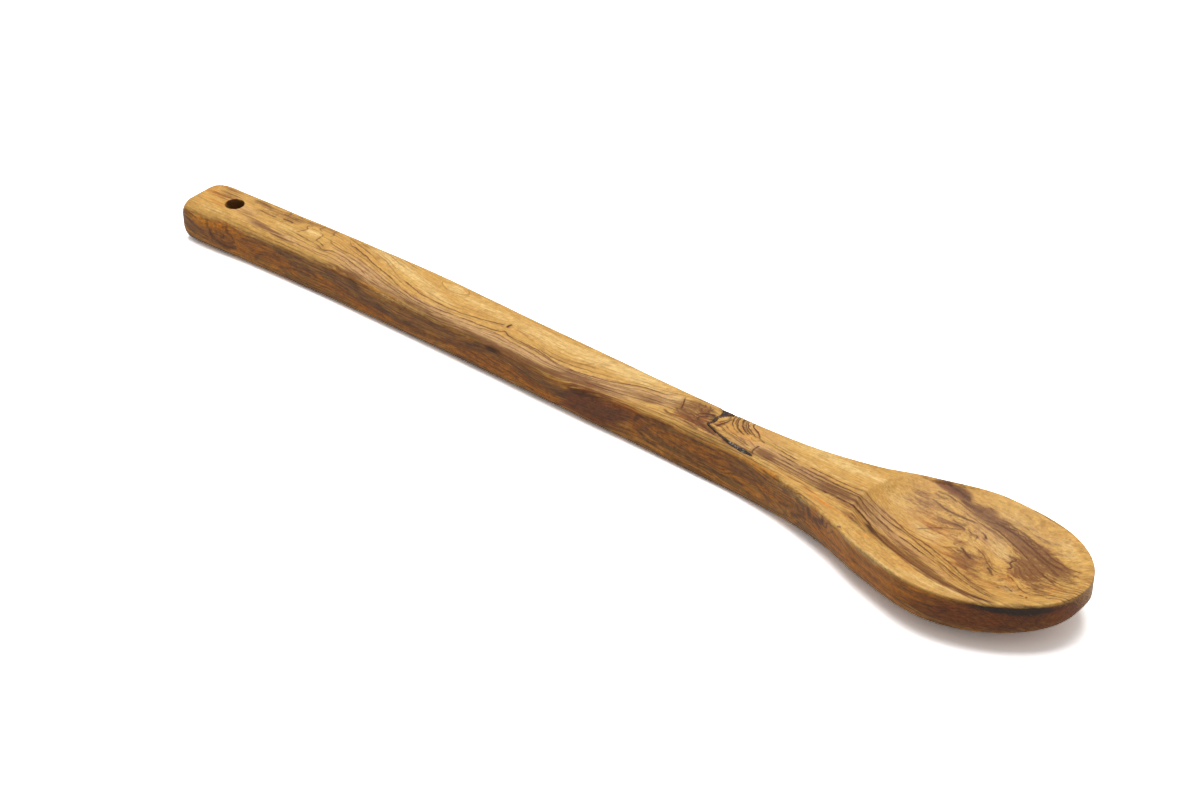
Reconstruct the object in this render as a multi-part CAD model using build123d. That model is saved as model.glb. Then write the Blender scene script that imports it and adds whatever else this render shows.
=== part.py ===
from build123d import *
import os
from math import radians, sin, sqrt

# A wooden spoon carved from one plank of olive wood, lying on its flat underside.
# Millimetres. The origin is under the middle of the spoon, +X points from the handle's end to the
# bowl's tip, +Y to the straighter far edge, and +Z up out of the hollow.

# Whole spoon
spoon_length = 300.0
handle_width = 16.6
handle_thickness = 13.1
plank_sway = 2.1              # how far the plank's centre line bends to the near side at the bowl

# Bowl
bowl_width = 43.4
bowl_thickness = 15.3
bowl_reach = 32.9             # from the widest place to the tip
rim_wall = 7.0                # upright wall between the rim and the rounded belly
tip_wall = 5.2                # the same towards the tip, where the belly climbs to meet it
belly_lift = 11.4             # how far the underside climbs to the tip

# Hollow
hollow_depth = 6.6
hollow_neck_length = 29.8     # from the widest place back to the ridge on the neck
rim_width = 1.6               # flat top of the rim at the tip and on the far side
near_rim_width = 8.8          # flat left beside the hollow on the near side of the neck

# Edges
far_edge_radius = 3.0
near_edge_radius = 3.6        # mean of the hand-cut near edge, which wanders
sole_edge_radius = 2.6        # mean of the edges that the spoon lies between
rim_edge_radius = 0.9
end_edge_length = 3.4         # along the handle, over which its end is rounded
end_edge_radius = 3.0         # taken off the end's upper and lower edges
end_near_cut = 1.6            # taken off its near corner, seen from above
end_far_length = 8.0          # the same roundings at its far corner
end_far_cut = 5.2

# Hanging hole
hole_diameter = 5.6
hole_inset = 14.7             # from the handle's end to the middle of the hole
hole_chamfer = 0.5

# Ingrown bark on the upper face of the neck
bark_length = 17.5            # along the spoon
bark_reach = 11.0             # across the spoon
bark_width = 1.5
bark_depth = 2.6
bark_ridge_gap = 30.2         # from the bark to the ridge where the hollow starts
bark_far_inset = 1.3          # from the far edge to the bark

overrun = 1.0                 # how far cutters pass the faces that they cut

# Stations along the carved plank: place as a share of the length up to the bowl's widest place,
# flare from the handle's width (0) to the bowl's (1), side step of the centre line as a share of
# the plank's sway, rise from the handle's thickness (0) to the bowl's (1), and the near upper
# edge's and the sole edges' radii as shares of their means.
station_shares = (
    (0.000, 0.017, -0.66, 0.04, 1.00, 1.39),
    (0.040, 0.017, -0.66, 0.04, 1.80, 1.39),
    (0.093, -0.006, -0.11, 0.00, 1.07, 1.07),
    (0.205, -0.012, 0.50, 0.00, 0.81, 0.97),
    (0.317, 0.041, 0.91, -0.22, 0.98, 1.16),
    (0.429, 0.040, 0.93, -0.48, 0.94, 1.20),
    (0.541, 0.040, 0.74, -0.50, 1.17, 1.36),
    (0.634, -0.039, 0.41, 0.06, 0.85, 0.96),
    (0.709, -0.092, 0.05, 0.60, 0.81, 0.78),
    (0.765, -0.086, -0.21, 0.82, 0.98, 0.83),
    (0.821, 0.048, -0.50, 0.66, 0.91, 1.00),
    (0.877, 0.323, -0.76, 0.55, 0.95, 0.97),
    (0.925, 0.680, -0.88, 0.60, 0.94, 0.99),
    (1.000, 1.000, -1.00, 0.88, 0.94, 1.00),
)

# Hollow's near half width, from the flat beside the neck (0) to the full bowl (1), at shares of
# the way from the ridge to the tip.
hollow_place_shares = (-0.10, 0.0, 0.20, 0.38, 0.56, 0.73, 0.86, 1.0, 1.08)
hollow_near_shares = (0.08, 0.08, 0.19, 0.38, 0.62, 0.86, 0.98, 1.0, 1.0)

# Bark's centre line: place along it, place across from the far edge, and width.
bark_path_shares = (
    (0.26, -0.02, 1.6),
    (0.16, 0.05, 2.2),
    (0.10, 0.22, 1.3),
    (0.00, 0.40, 0.8),
    (0.02, 0.56, 1.1),
    (0.20, 0.76, 1.2),
    (0.44, 0.85, 0.9),
    (0.62, 0.94, 1.0),
    (1.00, 1.00, 0.4),
)

# Shares of the shapes used below
widest_share = 0.95           # of the room it has that an edge's rounding may take
upper_edge_share = 0.55       # of the thickness that an upper edge's rounding may take
least_edge_share = 0.25       # of the sole edges' mean radius that every lower corner keeps
belly_run_share = 0.80        # of the bowl's half width that its rounded belly takes
blend_start_share = 0.72      # of the length to the widest place, where the belly starts
blend_end_share = 0.905       # and where it is fully rounded
lid_share = 1.3               # of the hollow's half width at which its cutter is closed
quarter_share = 0.5523        # of a corner's size, handle length of a curve that turns a quarter
neck_power = 4.0              # bluntness of the hollow's end at the neck

# Where the sections stand: even steps in spans along the plank, the angles of a quarter turn at
# its rounded ends, and shares of the hollow's length before and after the widest place.
plank_spans = 7
sections_per_span = 6
end_angles = (90, 75, 60, 45, 30, 15, 0)
bowl_angles = (0, 8, 16, 24, 32, 40)
tip_angles = (40, 48, 56, 64, 71, 78, 83, 87)
neck_section_shares = (1.10, 1.0, 0.9, 0.78, 0.64, 0.48, 0.32, 0.16)
tip_section_shares = (0.0, 0.16, 0.32, 0.48, 0.64, 0.78, 0.9, 1.0, 1.08)

# Places along the spoon, from the handle's end
x_widest = spoon_length - bowl_reach
x_ridge = x_widest - hollow_neck_length
x_bark_end = x_ridge - bark_ridge_gap
x_bark = x_bark_end - bark_length


def place(share, shares, values):
    """Smooth value at a share of the way, through the listed values, level at both ends."""
    last = len(shares) - 1
    if not shares[0] < share < shares[last]:
        return values[0] if share <= shares[0] else values[last]
    i = max(k for k in range(last) if shares[k] <= share)
    gap = shares[i + 1] - shares[i]
    t = (share - shares[i]) / gap
    slopes = [
        (values[k + 1] - values[k - 1]) / (shares[k + 1] - shares[k - 1]) * gap if 0 < k < last else 0
        for k in (i, i + 1)
    ]
    return (
        values[i] * (1 - t) ** 2 * (1 + 2 * t)
        + slopes[0] * t * (1 - t) ** 2
        + values[i + 1] * t ** 2 * (3 - 2 * t)
        - slopes[1] * t ** 2 * (1 - t)
    )


def smooth(t):
    """0 up to 0 and 1 from 1, with an S between them."""
    t = min(max(t, 0), 1)
    return t * t * (3 - 2 * t)


def past_widest(x):
    """0 up to the bowl's widest place, 1 from the tip."""
    return min(max((x - x_widest) / bowl_reach, 0), 1)


def station(x, column):
    """One column of the stations' table at a place along the spoon."""
    shares = [row[0] for row in station_shares]
    return place(x / x_widest, shares, [row[column] for row in station_shares])


def centre_at(x):
    """Side step of the centre line, which comes back to the middle at the bowl's tip."""
    return plank_sway * station(x, 2) * (1 - smooth(past_widest(x)))


def top_at(x):
    """Height of the flat upper face."""
    rise = station(x, 3) + (1 - station(x_widest, 3)) * past_widest(x)
    return handle_thickness + (bowl_thickness - handle_thickness) * rise


def half_width_at(x):
    """Half width of the plan: the table up to the widest place, then half an ellipse."""
    width = handle_width + (bowl_width - handle_width) * station(x, 1)
    return width / 2 * sqrt(1 - past_widest(x) ** 2)


def belly_at(x):
    """0 on the plank-like handle, 1 where the bowl's underside is fully rounded."""
    return smooth((x / x_widest - blend_start_share) / (blend_end_share - blend_start_share))


def end_round(x, length=end_edge_length):
    """1 at the handle's end face, falling to 0 in a quarter ellipse over a length."""
    t = max(1 - x / length, 0)
    return 1 - sqrt(1 - t * t)


def sole_at(x):
    """Height of the underside: flat, then a quarter ellipse up to the tip."""
    climb = 1 - sqrt(1 - past_widest(x) ** 2)
    return belly_lift * climb + end_edge_radius * end_round(x)


def corner(y, z, side, run, rise):
    """Rounded corner between an upright wall and a level face, as a smooth curve in a section."""
    up, out = rise * quarter_share, side * run * quarter_share
    return (y, z - rise), (y, z - rise + up), (y - side * run + out, z), (y - side * run, z)


def carved_section(x):
    """Outline of the spoon cut square across: flat top, upright sides, rounded sole corners."""
    bowl = belly_at(x)
    far_cut = end_far_cut * end_round(x, end_far_length)
    near_cut = end_near_cut * end_round(x)
    half = half_width_at(x) - (far_cut + near_cut) / 2
    top = top_at(x) - end_edge_radius * end_round(x)
    bottom = sole_at(x)
    middle = centre_at(x) - (far_cut - near_cut) / 2

    limit = half * widest_share
    upper_limit = min(limit, (top - bottom) * upper_edge_share)
    far = far_edge_radius * (1 - bowl) + rim_edge_radius * bowl
    near = near_edge_radius * station(x, 4) * (1 - bowl) + rim_edge_radius * bowl
    far, near = min(far, upper_limit), min(near, upper_limit)

    wall = rim_wall + (tip_wall - rim_wall) * past_widest(x) ** 2
    sole_edge = sole_edge_radius * station(x, 5)
    rise = sole_edge * (1 - bowl) + (top - wall - bottom) * bowl
    rise = max(rise, sole_edge_radius * least_edge_share)
    rise = min(rise, (top - bottom - max(near, far)) * widest_share)
    run = min(sole_edge * (1 - bowl) + belly_run_share * half * bowl, limit)

    upper_far = corner(middle + half, top, 1, far, far)
    upper_near = corner(middle - half, top, -1, near, near)
    lower_far = corner(middle + half, bottom, 1, run, -rise)
    lower_near = corner(middle - half, bottom, -1, run, -rise)
    curves = [upper_far, upper_near[::-1], lower_near, lower_far[::-1]]
    edges = []
    for curve, following in zip(curves, curves[1:] + curves[:1]):
        edges.append(Bezier(*[(x, y, z) for y, z in curve]))
        edges.append(Line((x, *curve[-1]), (x, *following[0])))
    return Face(Wire(edges))


def carved_spans():
    """Places of the sections, in spans that share their end sections."""
    spans = [[end_edge_length * (1 - sin(radians(a))) for a in end_angles]]
    step = (x_widest - end_edge_length) / plank_spans
    for i in range(plank_spans):
        shares = [i + k / sections_per_span for k in range(sections_per_span + 1)]
        spans.append([end_edge_length + step * share for share in shares])
    for angles in bowl_angles, tip_angles:
        spans.append([x_widest + bowl_reach * sin(radians(a)) for a in angles])
    return spans


def hollow_section(x):
    """Outline of the gouge's sweep cut square across: two half parabolas and a level lid."""
    reach = bowl_reach - rim_width
    if x < x_widest:
        depth = hollow_depth * (1 - ((x_widest - x) / hollow_neck_length) ** neck_power)
    else:
        depth = hollow_depth * (1 - ((x - x_widest) / reach) ** 2)
    far = bowl_width / 2 - rim_width
    near_start = far - near_rim_width
    share = (x - x_ridge) / (hollow_neck_length + reach)
    near = near_start + (far - near_start) * place(share, hollow_place_shares, hollow_near_shares)
    middle, floor = centre_at(x), top_at(x) - depth
    lid = floor + hollow_depth * lid_share ** 2
    bottom = (x, middle, floor)
    far_end = (x, middle + far * lid_share, lid)
    near_end = (x, middle - near * lid_share, lid)
    far_side = Bezier(bottom, (x, middle + far * lid_share / 2, floor), far_end)
    near_side = Bezier(near_end, (x, middle - near * lid_share / 2, floor), bottom)
    return Face(Wire([near_side, far_side, Line(far_end, near_end)]))


def hollow_places():
    """Where the gouge's sections stand, from before the ridge to past the tip."""
    neck = [x_widest - hollow_neck_length * share for share in neck_section_shares]
    tip = [x_widest + (bowl_reach - rim_width) * share for share in tip_section_shares]
    return neck + tip


def bark_cutter():
    """Zigzag blade as wide as the bark, from under its depth to above the upper face."""
    far_edge = half_width_at(x_bark) + centre_at(x_bark) - bark_far_inset
    line = [(x_bark + a * bark_length, far_edge - b * bark_reach) for a, b, c in bark_path_shares]
    widths = [bark_width * c for a, b, c in bark_path_shares]
    left, right = [], []
    for i, (x, y) in enumerate(line):
        x0, y0 = line[max(i - 1, 0)]
        x1, y1 = line[min(i + 1, len(line) - 1)]
        step = sqrt((x1 - x0) ** 2 + (y1 - y0) ** 2)
        across = (-(y1 - y0) / step * widths[i] / 2, (x1 - x0) / step * widths[i] / 2)
        left.append((x + across[0], y + across[1]))
        right.append((x - across[0], y - across[1]))
    outline = Polyline(*left, *reversed(right), close=True)
    blade = extrude(make_face(outline), bark_depth + overrun)
    return blade.moved(Location((0, 0, top_at(x_bark_end) - bark_depth)))


def hanging_hole():
    """Through hole with its two worn mouths."""
    top = top_at(hole_inset)
    radius = hole_diameter / 2
    mouth = radius + hole_chamfer
    bore = Cylinder(radius, top + 2 * overrun).moved(Location((0, 0, top / 2)))
    upper = Cone(radius, mouth + overrun, hole_chamfer + overrun)
    lower = Cone(mouth + overrun, radius, hole_chamfer + overrun)
    upper = upper.moved(Location((0, 0, top + (overrun - hole_chamfer) / 2)))
    lower = lower.moved(Location((0, 0, (hole_chamfer - overrun) / 2)))
    return (bore + upper + lower).moved(Location((hole_inset, centre_at(hole_inset), 0)))


def spoon_blank():
    """The carved outside, lofted span by span, with the bowl hollowed and the hole bored."""
    spans = [loft([carved_section(x) for x in places]) for places in carved_spans()]
    blank = spans[0].fuse(*spans[1:])
    gouge = loft([hollow_section(x) for x in hollow_places()])
    return blank - gouge - hanging_hole()


def main():
    os.makedirs("parts", exist_ok=True)
    blank = spoon_blank()
    cutter = bark_cutter()
    box = blank.bounding_box()
    to_middle = Location((-box.center().X, -box.center().Y, -box.min.Z))
    pieces = {"spoon_body": blank - cutter, "bark_inclusion": blank & cutter}
    for name, piece in pieces.items():
        export_step(piece.moved(to_middle), f"parts/{name}.step")
        print(name, len(piece.solids()), "solid, volume", round(piece.volume))


if __name__ == "__main__":
    main()
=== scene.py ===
"""A one-piece olive wood spoon: its carved body, a seam of ingrown bark and a studio stage.

All forms are worked out in millimetres from the handle's end (x), the middle of the plank (y) and
the underside (z), and are put into the meshes in metres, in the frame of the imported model.
"""

import math
from types import SimpleNamespace

import bpy
import numpy as np
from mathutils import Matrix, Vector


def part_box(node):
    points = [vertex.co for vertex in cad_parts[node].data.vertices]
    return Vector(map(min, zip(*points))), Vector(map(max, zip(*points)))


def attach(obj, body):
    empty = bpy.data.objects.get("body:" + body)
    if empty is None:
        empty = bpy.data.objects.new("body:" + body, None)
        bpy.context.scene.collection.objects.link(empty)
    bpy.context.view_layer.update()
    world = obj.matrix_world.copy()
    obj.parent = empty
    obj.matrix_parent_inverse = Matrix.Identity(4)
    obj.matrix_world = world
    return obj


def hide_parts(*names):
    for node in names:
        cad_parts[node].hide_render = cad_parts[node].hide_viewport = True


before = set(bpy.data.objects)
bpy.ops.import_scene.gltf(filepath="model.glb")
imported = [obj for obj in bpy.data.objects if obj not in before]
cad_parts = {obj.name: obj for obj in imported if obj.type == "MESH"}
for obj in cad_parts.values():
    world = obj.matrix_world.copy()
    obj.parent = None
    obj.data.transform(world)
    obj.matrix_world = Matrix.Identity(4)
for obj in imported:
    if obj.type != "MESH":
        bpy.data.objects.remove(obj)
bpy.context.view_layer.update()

bl_info = {
    "name": "Olive wood spoon",
    "version": (1, 0, 0),
    "blender": (4, 5, 0),
    "location": "3D View > Sidebar > Spoon",
    "description": "Carved wooden spoon with a figured surface, ingrown bark and a studio stage",
    "category": "Add Mesh",
}

MM = 0.001

# Stations along the carved plank, as the construction has them: place as a share of the length up
# to the widest place, flare, side step, rise, near upper edge and sole edges.
STATION_SHARES = np.array((
    (0.000, 0.017, -0.66, 0.04, 1.00, 1.39),
    (0.040, 0.017, -0.66, 0.04, 1.80, 1.39),
    (0.093, -0.006, -0.11, 0.00, 1.07, 1.07),
    (0.205, -0.012, 0.50, 0.00, 0.81, 0.97),
    (0.317, 0.041, 0.91, -0.22, 0.98, 1.16),
    (0.429, 0.040, 0.93, -0.48, 0.94, 1.20),
    (0.541, 0.040, 0.74, -0.50, 1.17, 1.36),
    (0.634, -0.039, 0.41, 0.06, 0.85, 0.96),
    (0.709, -0.092, 0.05, 0.60, 0.81, 0.78),
    (0.765, -0.086, -0.21, 0.82, 0.98, 0.83),
    (0.821, 0.048, -0.50, 0.66, 0.91, 1.00),
    (0.877, 0.323, -0.76, 0.55, 0.95, 0.97),
    (0.925, 0.680, -0.88, 0.60, 0.94, 0.99),
    (1.000, 1.000, -1.00, 0.88, 0.94, 1.00),
))
HOLLOW_PLACE_SHARES = np.array((-0.10, 0.0, 0.20, 0.38, 0.56, 0.73, 0.86, 1.0, 1.08))
HOLLOW_NEAR_SHARES = np.array((0.08, 0.08, 0.19, 0.38, 0.62, 0.86, 0.98, 1.0, 1.0))

# The grain: growth lines counted across the plank, and where chosen ones lie (mm) at places along
# the spoon. A place across is y on the upper face, and goes on down the sides from there.
GUIDE_LINES = (26, 18, 12, 8, 6, 4, 2, 0, -4, -10, -16)
GUIDE_PLACES = (
    (0, -22, -13, -7, -3, 0, 1.6, 3.2, 5, 9, 16, 26),
    (20, -22, -13.8, -6, -2, 1.3, 2.8, 4.3, 6.3, 9.5, 15.5, 26),
    (40, -21.5, -13.2, -5.6, -1.5, 2.6, 4.0, 5.6, 7.5, 10, 15, 26),
    (52, -21, -13.2, -5.4, -2.1, 1.8, 3.4, 5.4, 7.6, 9.8, 14.5, 26),
    (60, -21, -13.5, -5.3, -2.1, 0.5, 1.9, 3.7, 6.6, 9.2, 14, 26),
    (68, -21, -14.1, -6.2, -3.6, -0.9, 0.1, 1.2, 5.0, 8.2, 13.5, 26),
    (78, -21, -14.8, -7.8, -5.6, -3.2, -2.3, -1.3, 1.3, 6.3, 13, 26),
    (90, -21, -15, -9.2, -7, -5.3, -4.9, -4.5, -1.6, 4.5, 12.5, 26),
    (100, -21, -14.4, -9.2, -6.9, -5.4, -4.7, -4.1, -1.9, 4.1, 12.5, 26),
    (112, -21, -12, -8.1, -5.5, -3.9, -3.3, -2.7, 0.4, 5, 12.5, 26),
    (124, -21, -11.2, -8.1, -5.3, -3.2, -2.4, -1.6, 1.8, 6, 12.5, 26),
    (138, -21, -13.4, -8.5, -6.2, -4.6, -3.8, -3, -0.4, 5.6, 13, 26),
    (150, -20, -11, -6.9, -4.6, -3.8, -3.1, -2.4, 1.5, 6.8, 13.5, 26),
    (162, -19, -8.6, -5.8, -3.1, -2.0, -0.9, 0.4, 3.0, 8, 13.5, 26),
    (172, -19, -9.2, -5.1, -1.8, -0.5, 0.7, 2.2, 4.6, 8.9, 13.5, 26),
    (182, -20, -11.2, -5.0, -1.2, 1.0, 2.6, 4.6, 6.4, 9.3, 13.5, 26),
    (195, -21, -12, -5.2, -1.2, 0.6, 1.8, 3.4, 4.8, 7.4, 13, 26),
    (208, -22, -12.2, -6.0, -2.6, -1.4, -0.2, 1.6, 2.9, 5.6, 12.5, 26),
    (226, -24, -14, -6.8, -3.3, -2.1, -0.9, 2.0, 3.5, 6.0, 12, 26),
    (240, -29, -19.5, -7.0, -3.0, -1.6, -0.2, 2.2, 4.5, 8.8, 12.5, 26),
    (252, -33, -24.7, -12.0, -4.3, -2.0, -1.0, 3.5, 7, 12.3, 15.6, 26),
    (262, -35, -27.4, -16.3, -6.9, -5.4, -3.4, 5, 7.4, 11.2, 13.9, 26),
    (272, -36, -28, -18.2, -11.8, -9.6, -7.8, 2.0, 4.5, 9.3, 12.6, 26),
    (284, -34, -26, -18.5, -17.0, -14.8, -12.8, -4.5, -2, 3.8, 8.4, 26),
    (300, -30, -22, -20, -18.5, -17, -15.5, -7, -5, -1, 3, 26),
)
# Knots that lift the growth lines: place along, place across, reach along, reach across, lift.
KNOT_LIFTS = (
    (52.4, -3.2, 2.2, 2.0, -0.9),
    (118.6, 0.6, 1.9, 3.4, 1.7),
    (94.0, 7.6, 5.5, 1.4, 1.3),
    (94.0, 5.4, 5.5, 1.4, -1.3),
    (186.0, 0.5, 3.4, 2.4, -1.6),
    (279.0, 2.6, 3.6, 3.0, 1.8),
)
# The kinds of stain in the tables below. Burl is flecked wood, and clear wood has no growth lines.
# The rose and the pale kinds carry painted sheen as well as the wood's own tones.
STAIN_KINDS = ("rose", "pale", "orange", "brown", "rust", "soot", "burl", "clear")
# Stains on the upper face, in order along the spoon: place along and across, half length, half
# width, turn in degrees and strength.
TOP_STAINS = {
    "brown": (
        (6, -1.5, 5, 3, 0, 0.3), (9.5, 2.4, 5, 3, -10, 0.6), (22, 4.3, 5, 1.2, 0, 0.75),
        (26, 1, 5, 1, 0, 0.5), (27, -4, 11, 1.7, -8, 0.62), (32, 3.2, 6, 1.7, 0, 0.6),
        (36, -5.4, 8, 1, -6, 0.5), (38, 5.4, 6, 1.3, 0, 0.5), (48, 5.4, 4, 2, 0, 0.35),
        (72, -7.6, 22, 1.9, 0, 1), (82, -4.6, 8, 1.4, -12, 0.3), (108, -7.9, 24, 1.8, 0, 1.1),
        (115, 0.6, 5, 1.2, 12, 0.3), (142, -7.8, 22, 2, 0, 1.1), (146, -4.2, 8, 1.2, 0, 0.3),
        (150, -5, 10, 1.2, 0, 0.8), (150, 4, 5, 1.6, 60, 0.35), (165, -3.4, 12, 2, 12, 0.4),
        (172, -1.2, 8, 1.8, 12, 0.4), (182.5, 1.9, 5, 3.6, 6, 0.95), (185, -2.4, 6, 2.2, 0, 0.6),
        (188, 1.5, 2.5, 2, 0, 0.6), (190, -7.8, 18, 1.5, 0, 0.7), (192, -3, 5, 2, 0, 0.4),
        (208.8, -4.2, 3.6, 2, 0, 0.85), (213, -4, 6, 1.6, 0, 0.4), (224, -4.8, 14, 1, 0, 0.6),
        (226, -2.4, 14, 0.6, 0, 0.5), (233, -4.4, 7, 1.8, 0, 0.7), (242, -2.6, 4, 2.4, 0, 0.3),
        (245.5, -9.4, 4, 1.6, -25, 0.8), (248, 9, 5, 3, 20, 0.35), (249, -9.8, 5, 1.6, -34, 0.8),
        (253, 15.9, 6, 1.1, -2, 1.3), (256, -13.2, 8, 1.8, -30, 1), (258, 8, 5, 1.4, 0, 0.4),
        (262, -12.4, 12, 2.6, -26, 0.8), (262, 13.5, 9, 2.1, -14, 0.68),
        (266, -16.6, 8, 1.9, -16, 1.1), (266, 0, 26, 14, -8, 0.3), (266, 1.6, 5, 1.4, -18, 0.5),
        (270, -3.2, 7, 1.8, -24, 0.5), (272, 11.6, 9, 2.4, -14, 0.6), (277, -18.2, 8, 1.4, -3, 1),
        (280, -12.5, 9, 1.6, -34, 0.4), (281, 3, 4.6, 3, -30, 0.5), (281, 8.8, 9, 2.2, -20, 0.58),
        (284, 1, 7, 2.8, -36, 0.5), (284, 8, 12, 6, -30, 0.35), (289, -4.2, 5, 1.6, -30, 0.4),
        (290, 4.2, 8, 3.2, -36, 0.55),
    ),
    # Rose: beige wood beside the heartwood, and painted sheen, a highlight laid into the colour along the
    # near upper edge and just past the hollow's ridge.
    "rose": (
        (18, -1, 7, 2, 0, 0.6), (35, -4.6, 20, 1.6, 0, 0.7), (70, -4, 15, 3.4, -10, 0.9),
        (90, -7.6, 40, 1.8, 0, 0.7), (100, -5.8, 24, 3.2, 2, 1), (135, -5.6, 22, 3.3, 0, 1),
        (160, -3.4, 16, 3.6, 12, 1), (175, 1.2, 5, 3.2, 0, 0.9), (205, 2.2, 12, 2, -8, 0.4),
        (214, -3.4, 18, 2.4, -3, 0.9), (242, -3.2, 5, 4, 0, 1), (252, -6, 7, 2.6, -20, 0.9),
        (266, -11, 10, 2.4, -30, 0.45), (266, 9, 10, 3, -20, 0.5),
    ),
    "orange": (
        (5, 1, 8, 7, 0, 0.3), (12, -3, 12, 4, 0, 0.2), (185, -4.6, 12, 1.6, 0, 0.3),
        (200, 0, 8, 4, 0, 0.4), (224, -9.5, 12, 1.6, -10, 0.3), (245, -13, 9, 3, -30, 0.12),
        (256, -17.5, 10, 2, -20, 0.15), (258, 6, 7, 4, 0, 0.15), (264, -2.6, 8, 3, -24, 0.12),
        (265, 0, 34, 19, 0, 0.2), (272, -4.5, 7, 3, -30, 0.15), (286, 0, 9, 6, -30, 0.25),
    ),
    "rust": (
        (158, -7.6, 20, 2, 3, 0.7), (183, -3.6, 6, 1.4, -6, 0.7), (186.5, -1.4, 2.6, 1.4, 0, 0.6),
        (187.4, 0.2, 2, 2.4, 0, 0.7), (190, -4.2, 8, 1, -8, 0.7), (192, -1.2, 1.5, 1.4, 0, 0.8),
        (221, -7.6, 8, 1, -10, 0.5), (238, -7.4, 6, 0.8, 0, 0.7), (240, -10.2, 5, 1.6, -20, 0.6),
        (254, 15.8, 5, 0.9, 0, 0.9), (258, -15, 6, 1.1, -28, 0.8), (258, -14.5, 8, 1.2, -24, 0.5),
        (267, -17.8, 7, 1, -12, 0.8), (277, -18.9, 7, 0.8, 0, 0.7),
        (280.6, 3.2, 4.4, 2.6, -36, 0.22), (285, -0.4, 5, 1.6, -40, 0.25), (299, 0, 3, 12, 0, 0.4),
    ),
    # Pale: the palest clear wood, and painted sheen, a highlight laid into the colour beside the burl
    # patch at 176 mm and just past the hollow's ridge.
    "pale": (
        (12, -7.4, 10, 0.8, 0, 0.5), (37, -0.8, 5, 1, -5, 0.6), (44.3, 1.4, 3.1, 1.6, 0, 1),
        (70, 5.6, 10, 2, -6, 0.5), (84, 3, 16, 2.2, -14, 0.7), (94.2, 6.7, 4, 1.5, 0, 0.9),
        (105, 5, 10, 2.4, 0, 0.5), (138, 4.6, 24, 2.6, 0, 0.8), (160, 4.8, 12, 2.6, -2, 0.9),
        (176, 1.4, 2.4, 2.4, -40, 0.5), (200, 2, 5, 2.2, -24, 0.4), (222, 0.7, 14, 0.7, 0, 0.6),
        (225, 5.4, 16, 2.2, 2, 0.8), (242, -3.2, 3.4, 2.6, 0, 0.5), (244, 5, 4, 4, 0, 0.4),
        (252, -21, 12, 1.2, -16, 0.7), (254, 1.6, 5, 2, -8, 0.9), (260, 4.6, 4.5, 1.4, 24, 0.6),
        (270, -21, 10, 1.2, 4, 0.6), (272, 6, 5, 2.3, -28, 0.7), (276, 4, 4, 1.2, -36, 0.5),
        (276, 14.4, 14, 2.4, -14, 0.35), (282, -6.4, 4.4, 1.5, -34, 0.6),
        (290, 11, 7, 2.4, -36, 0.35),
    ),
    "soot": (
        (189.6, 0.6, 1.2, 1.6, 0, 0.7), (190.6, 5.2, 3.4, 2, 0, 0.7),
        (245.8, -9.2, 2.6, 0.9, -28, 0.8), (254, 16.4, 4, 0.7, 0, 0.5),
        (291, -14.6, 5, 0.7, 38, 0.6),
    ),
    "burl": (
        (27, 3.2, 12, 3.4, 0, 1), (182, 1.5, 6, 3.6, 0, 0.8), (185, -2.5, 7, 3, 0, 1),
        (253, 11.6, 9, 2.4, 0, 0.9), (260, 6.5, 12, 5, -12, 1), (268, 0.5, 9, 4, -24, 0.9),
        (282, -6, 8, 3, -34, 0.9), (292, -5, 6, 4, -30, 0.5),
    ),
    "clear": (
        (18, -1, 22, 9, 0, 0.9), (45, 3, 6, 4, 0, 0.7), (94, 6, 24, 6, 0, 0.9),
        (132, 5.6, 22, 4.4, 0, 0.9), (160, 5.6, 14, 3.4, 4, 0.9), (196, 1, 12, 6, 0, 1),
        (226, 3, 14, 4, 0, 0.5), (226, 6, 18, 3.6, 0, 0.8), (250, 8, 14, 7, 0, 1),
        (255, -20, 14, 4, -14, 0.7), (262, 3.6, 15, 7, -15, 1), (276, 14.6, 16, 2.6, -15, 0.6),
        (280, -5, 8, 5, -30, 0.8), (288, 10, 10, 5, -30, 0.7),
    ),
}
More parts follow.
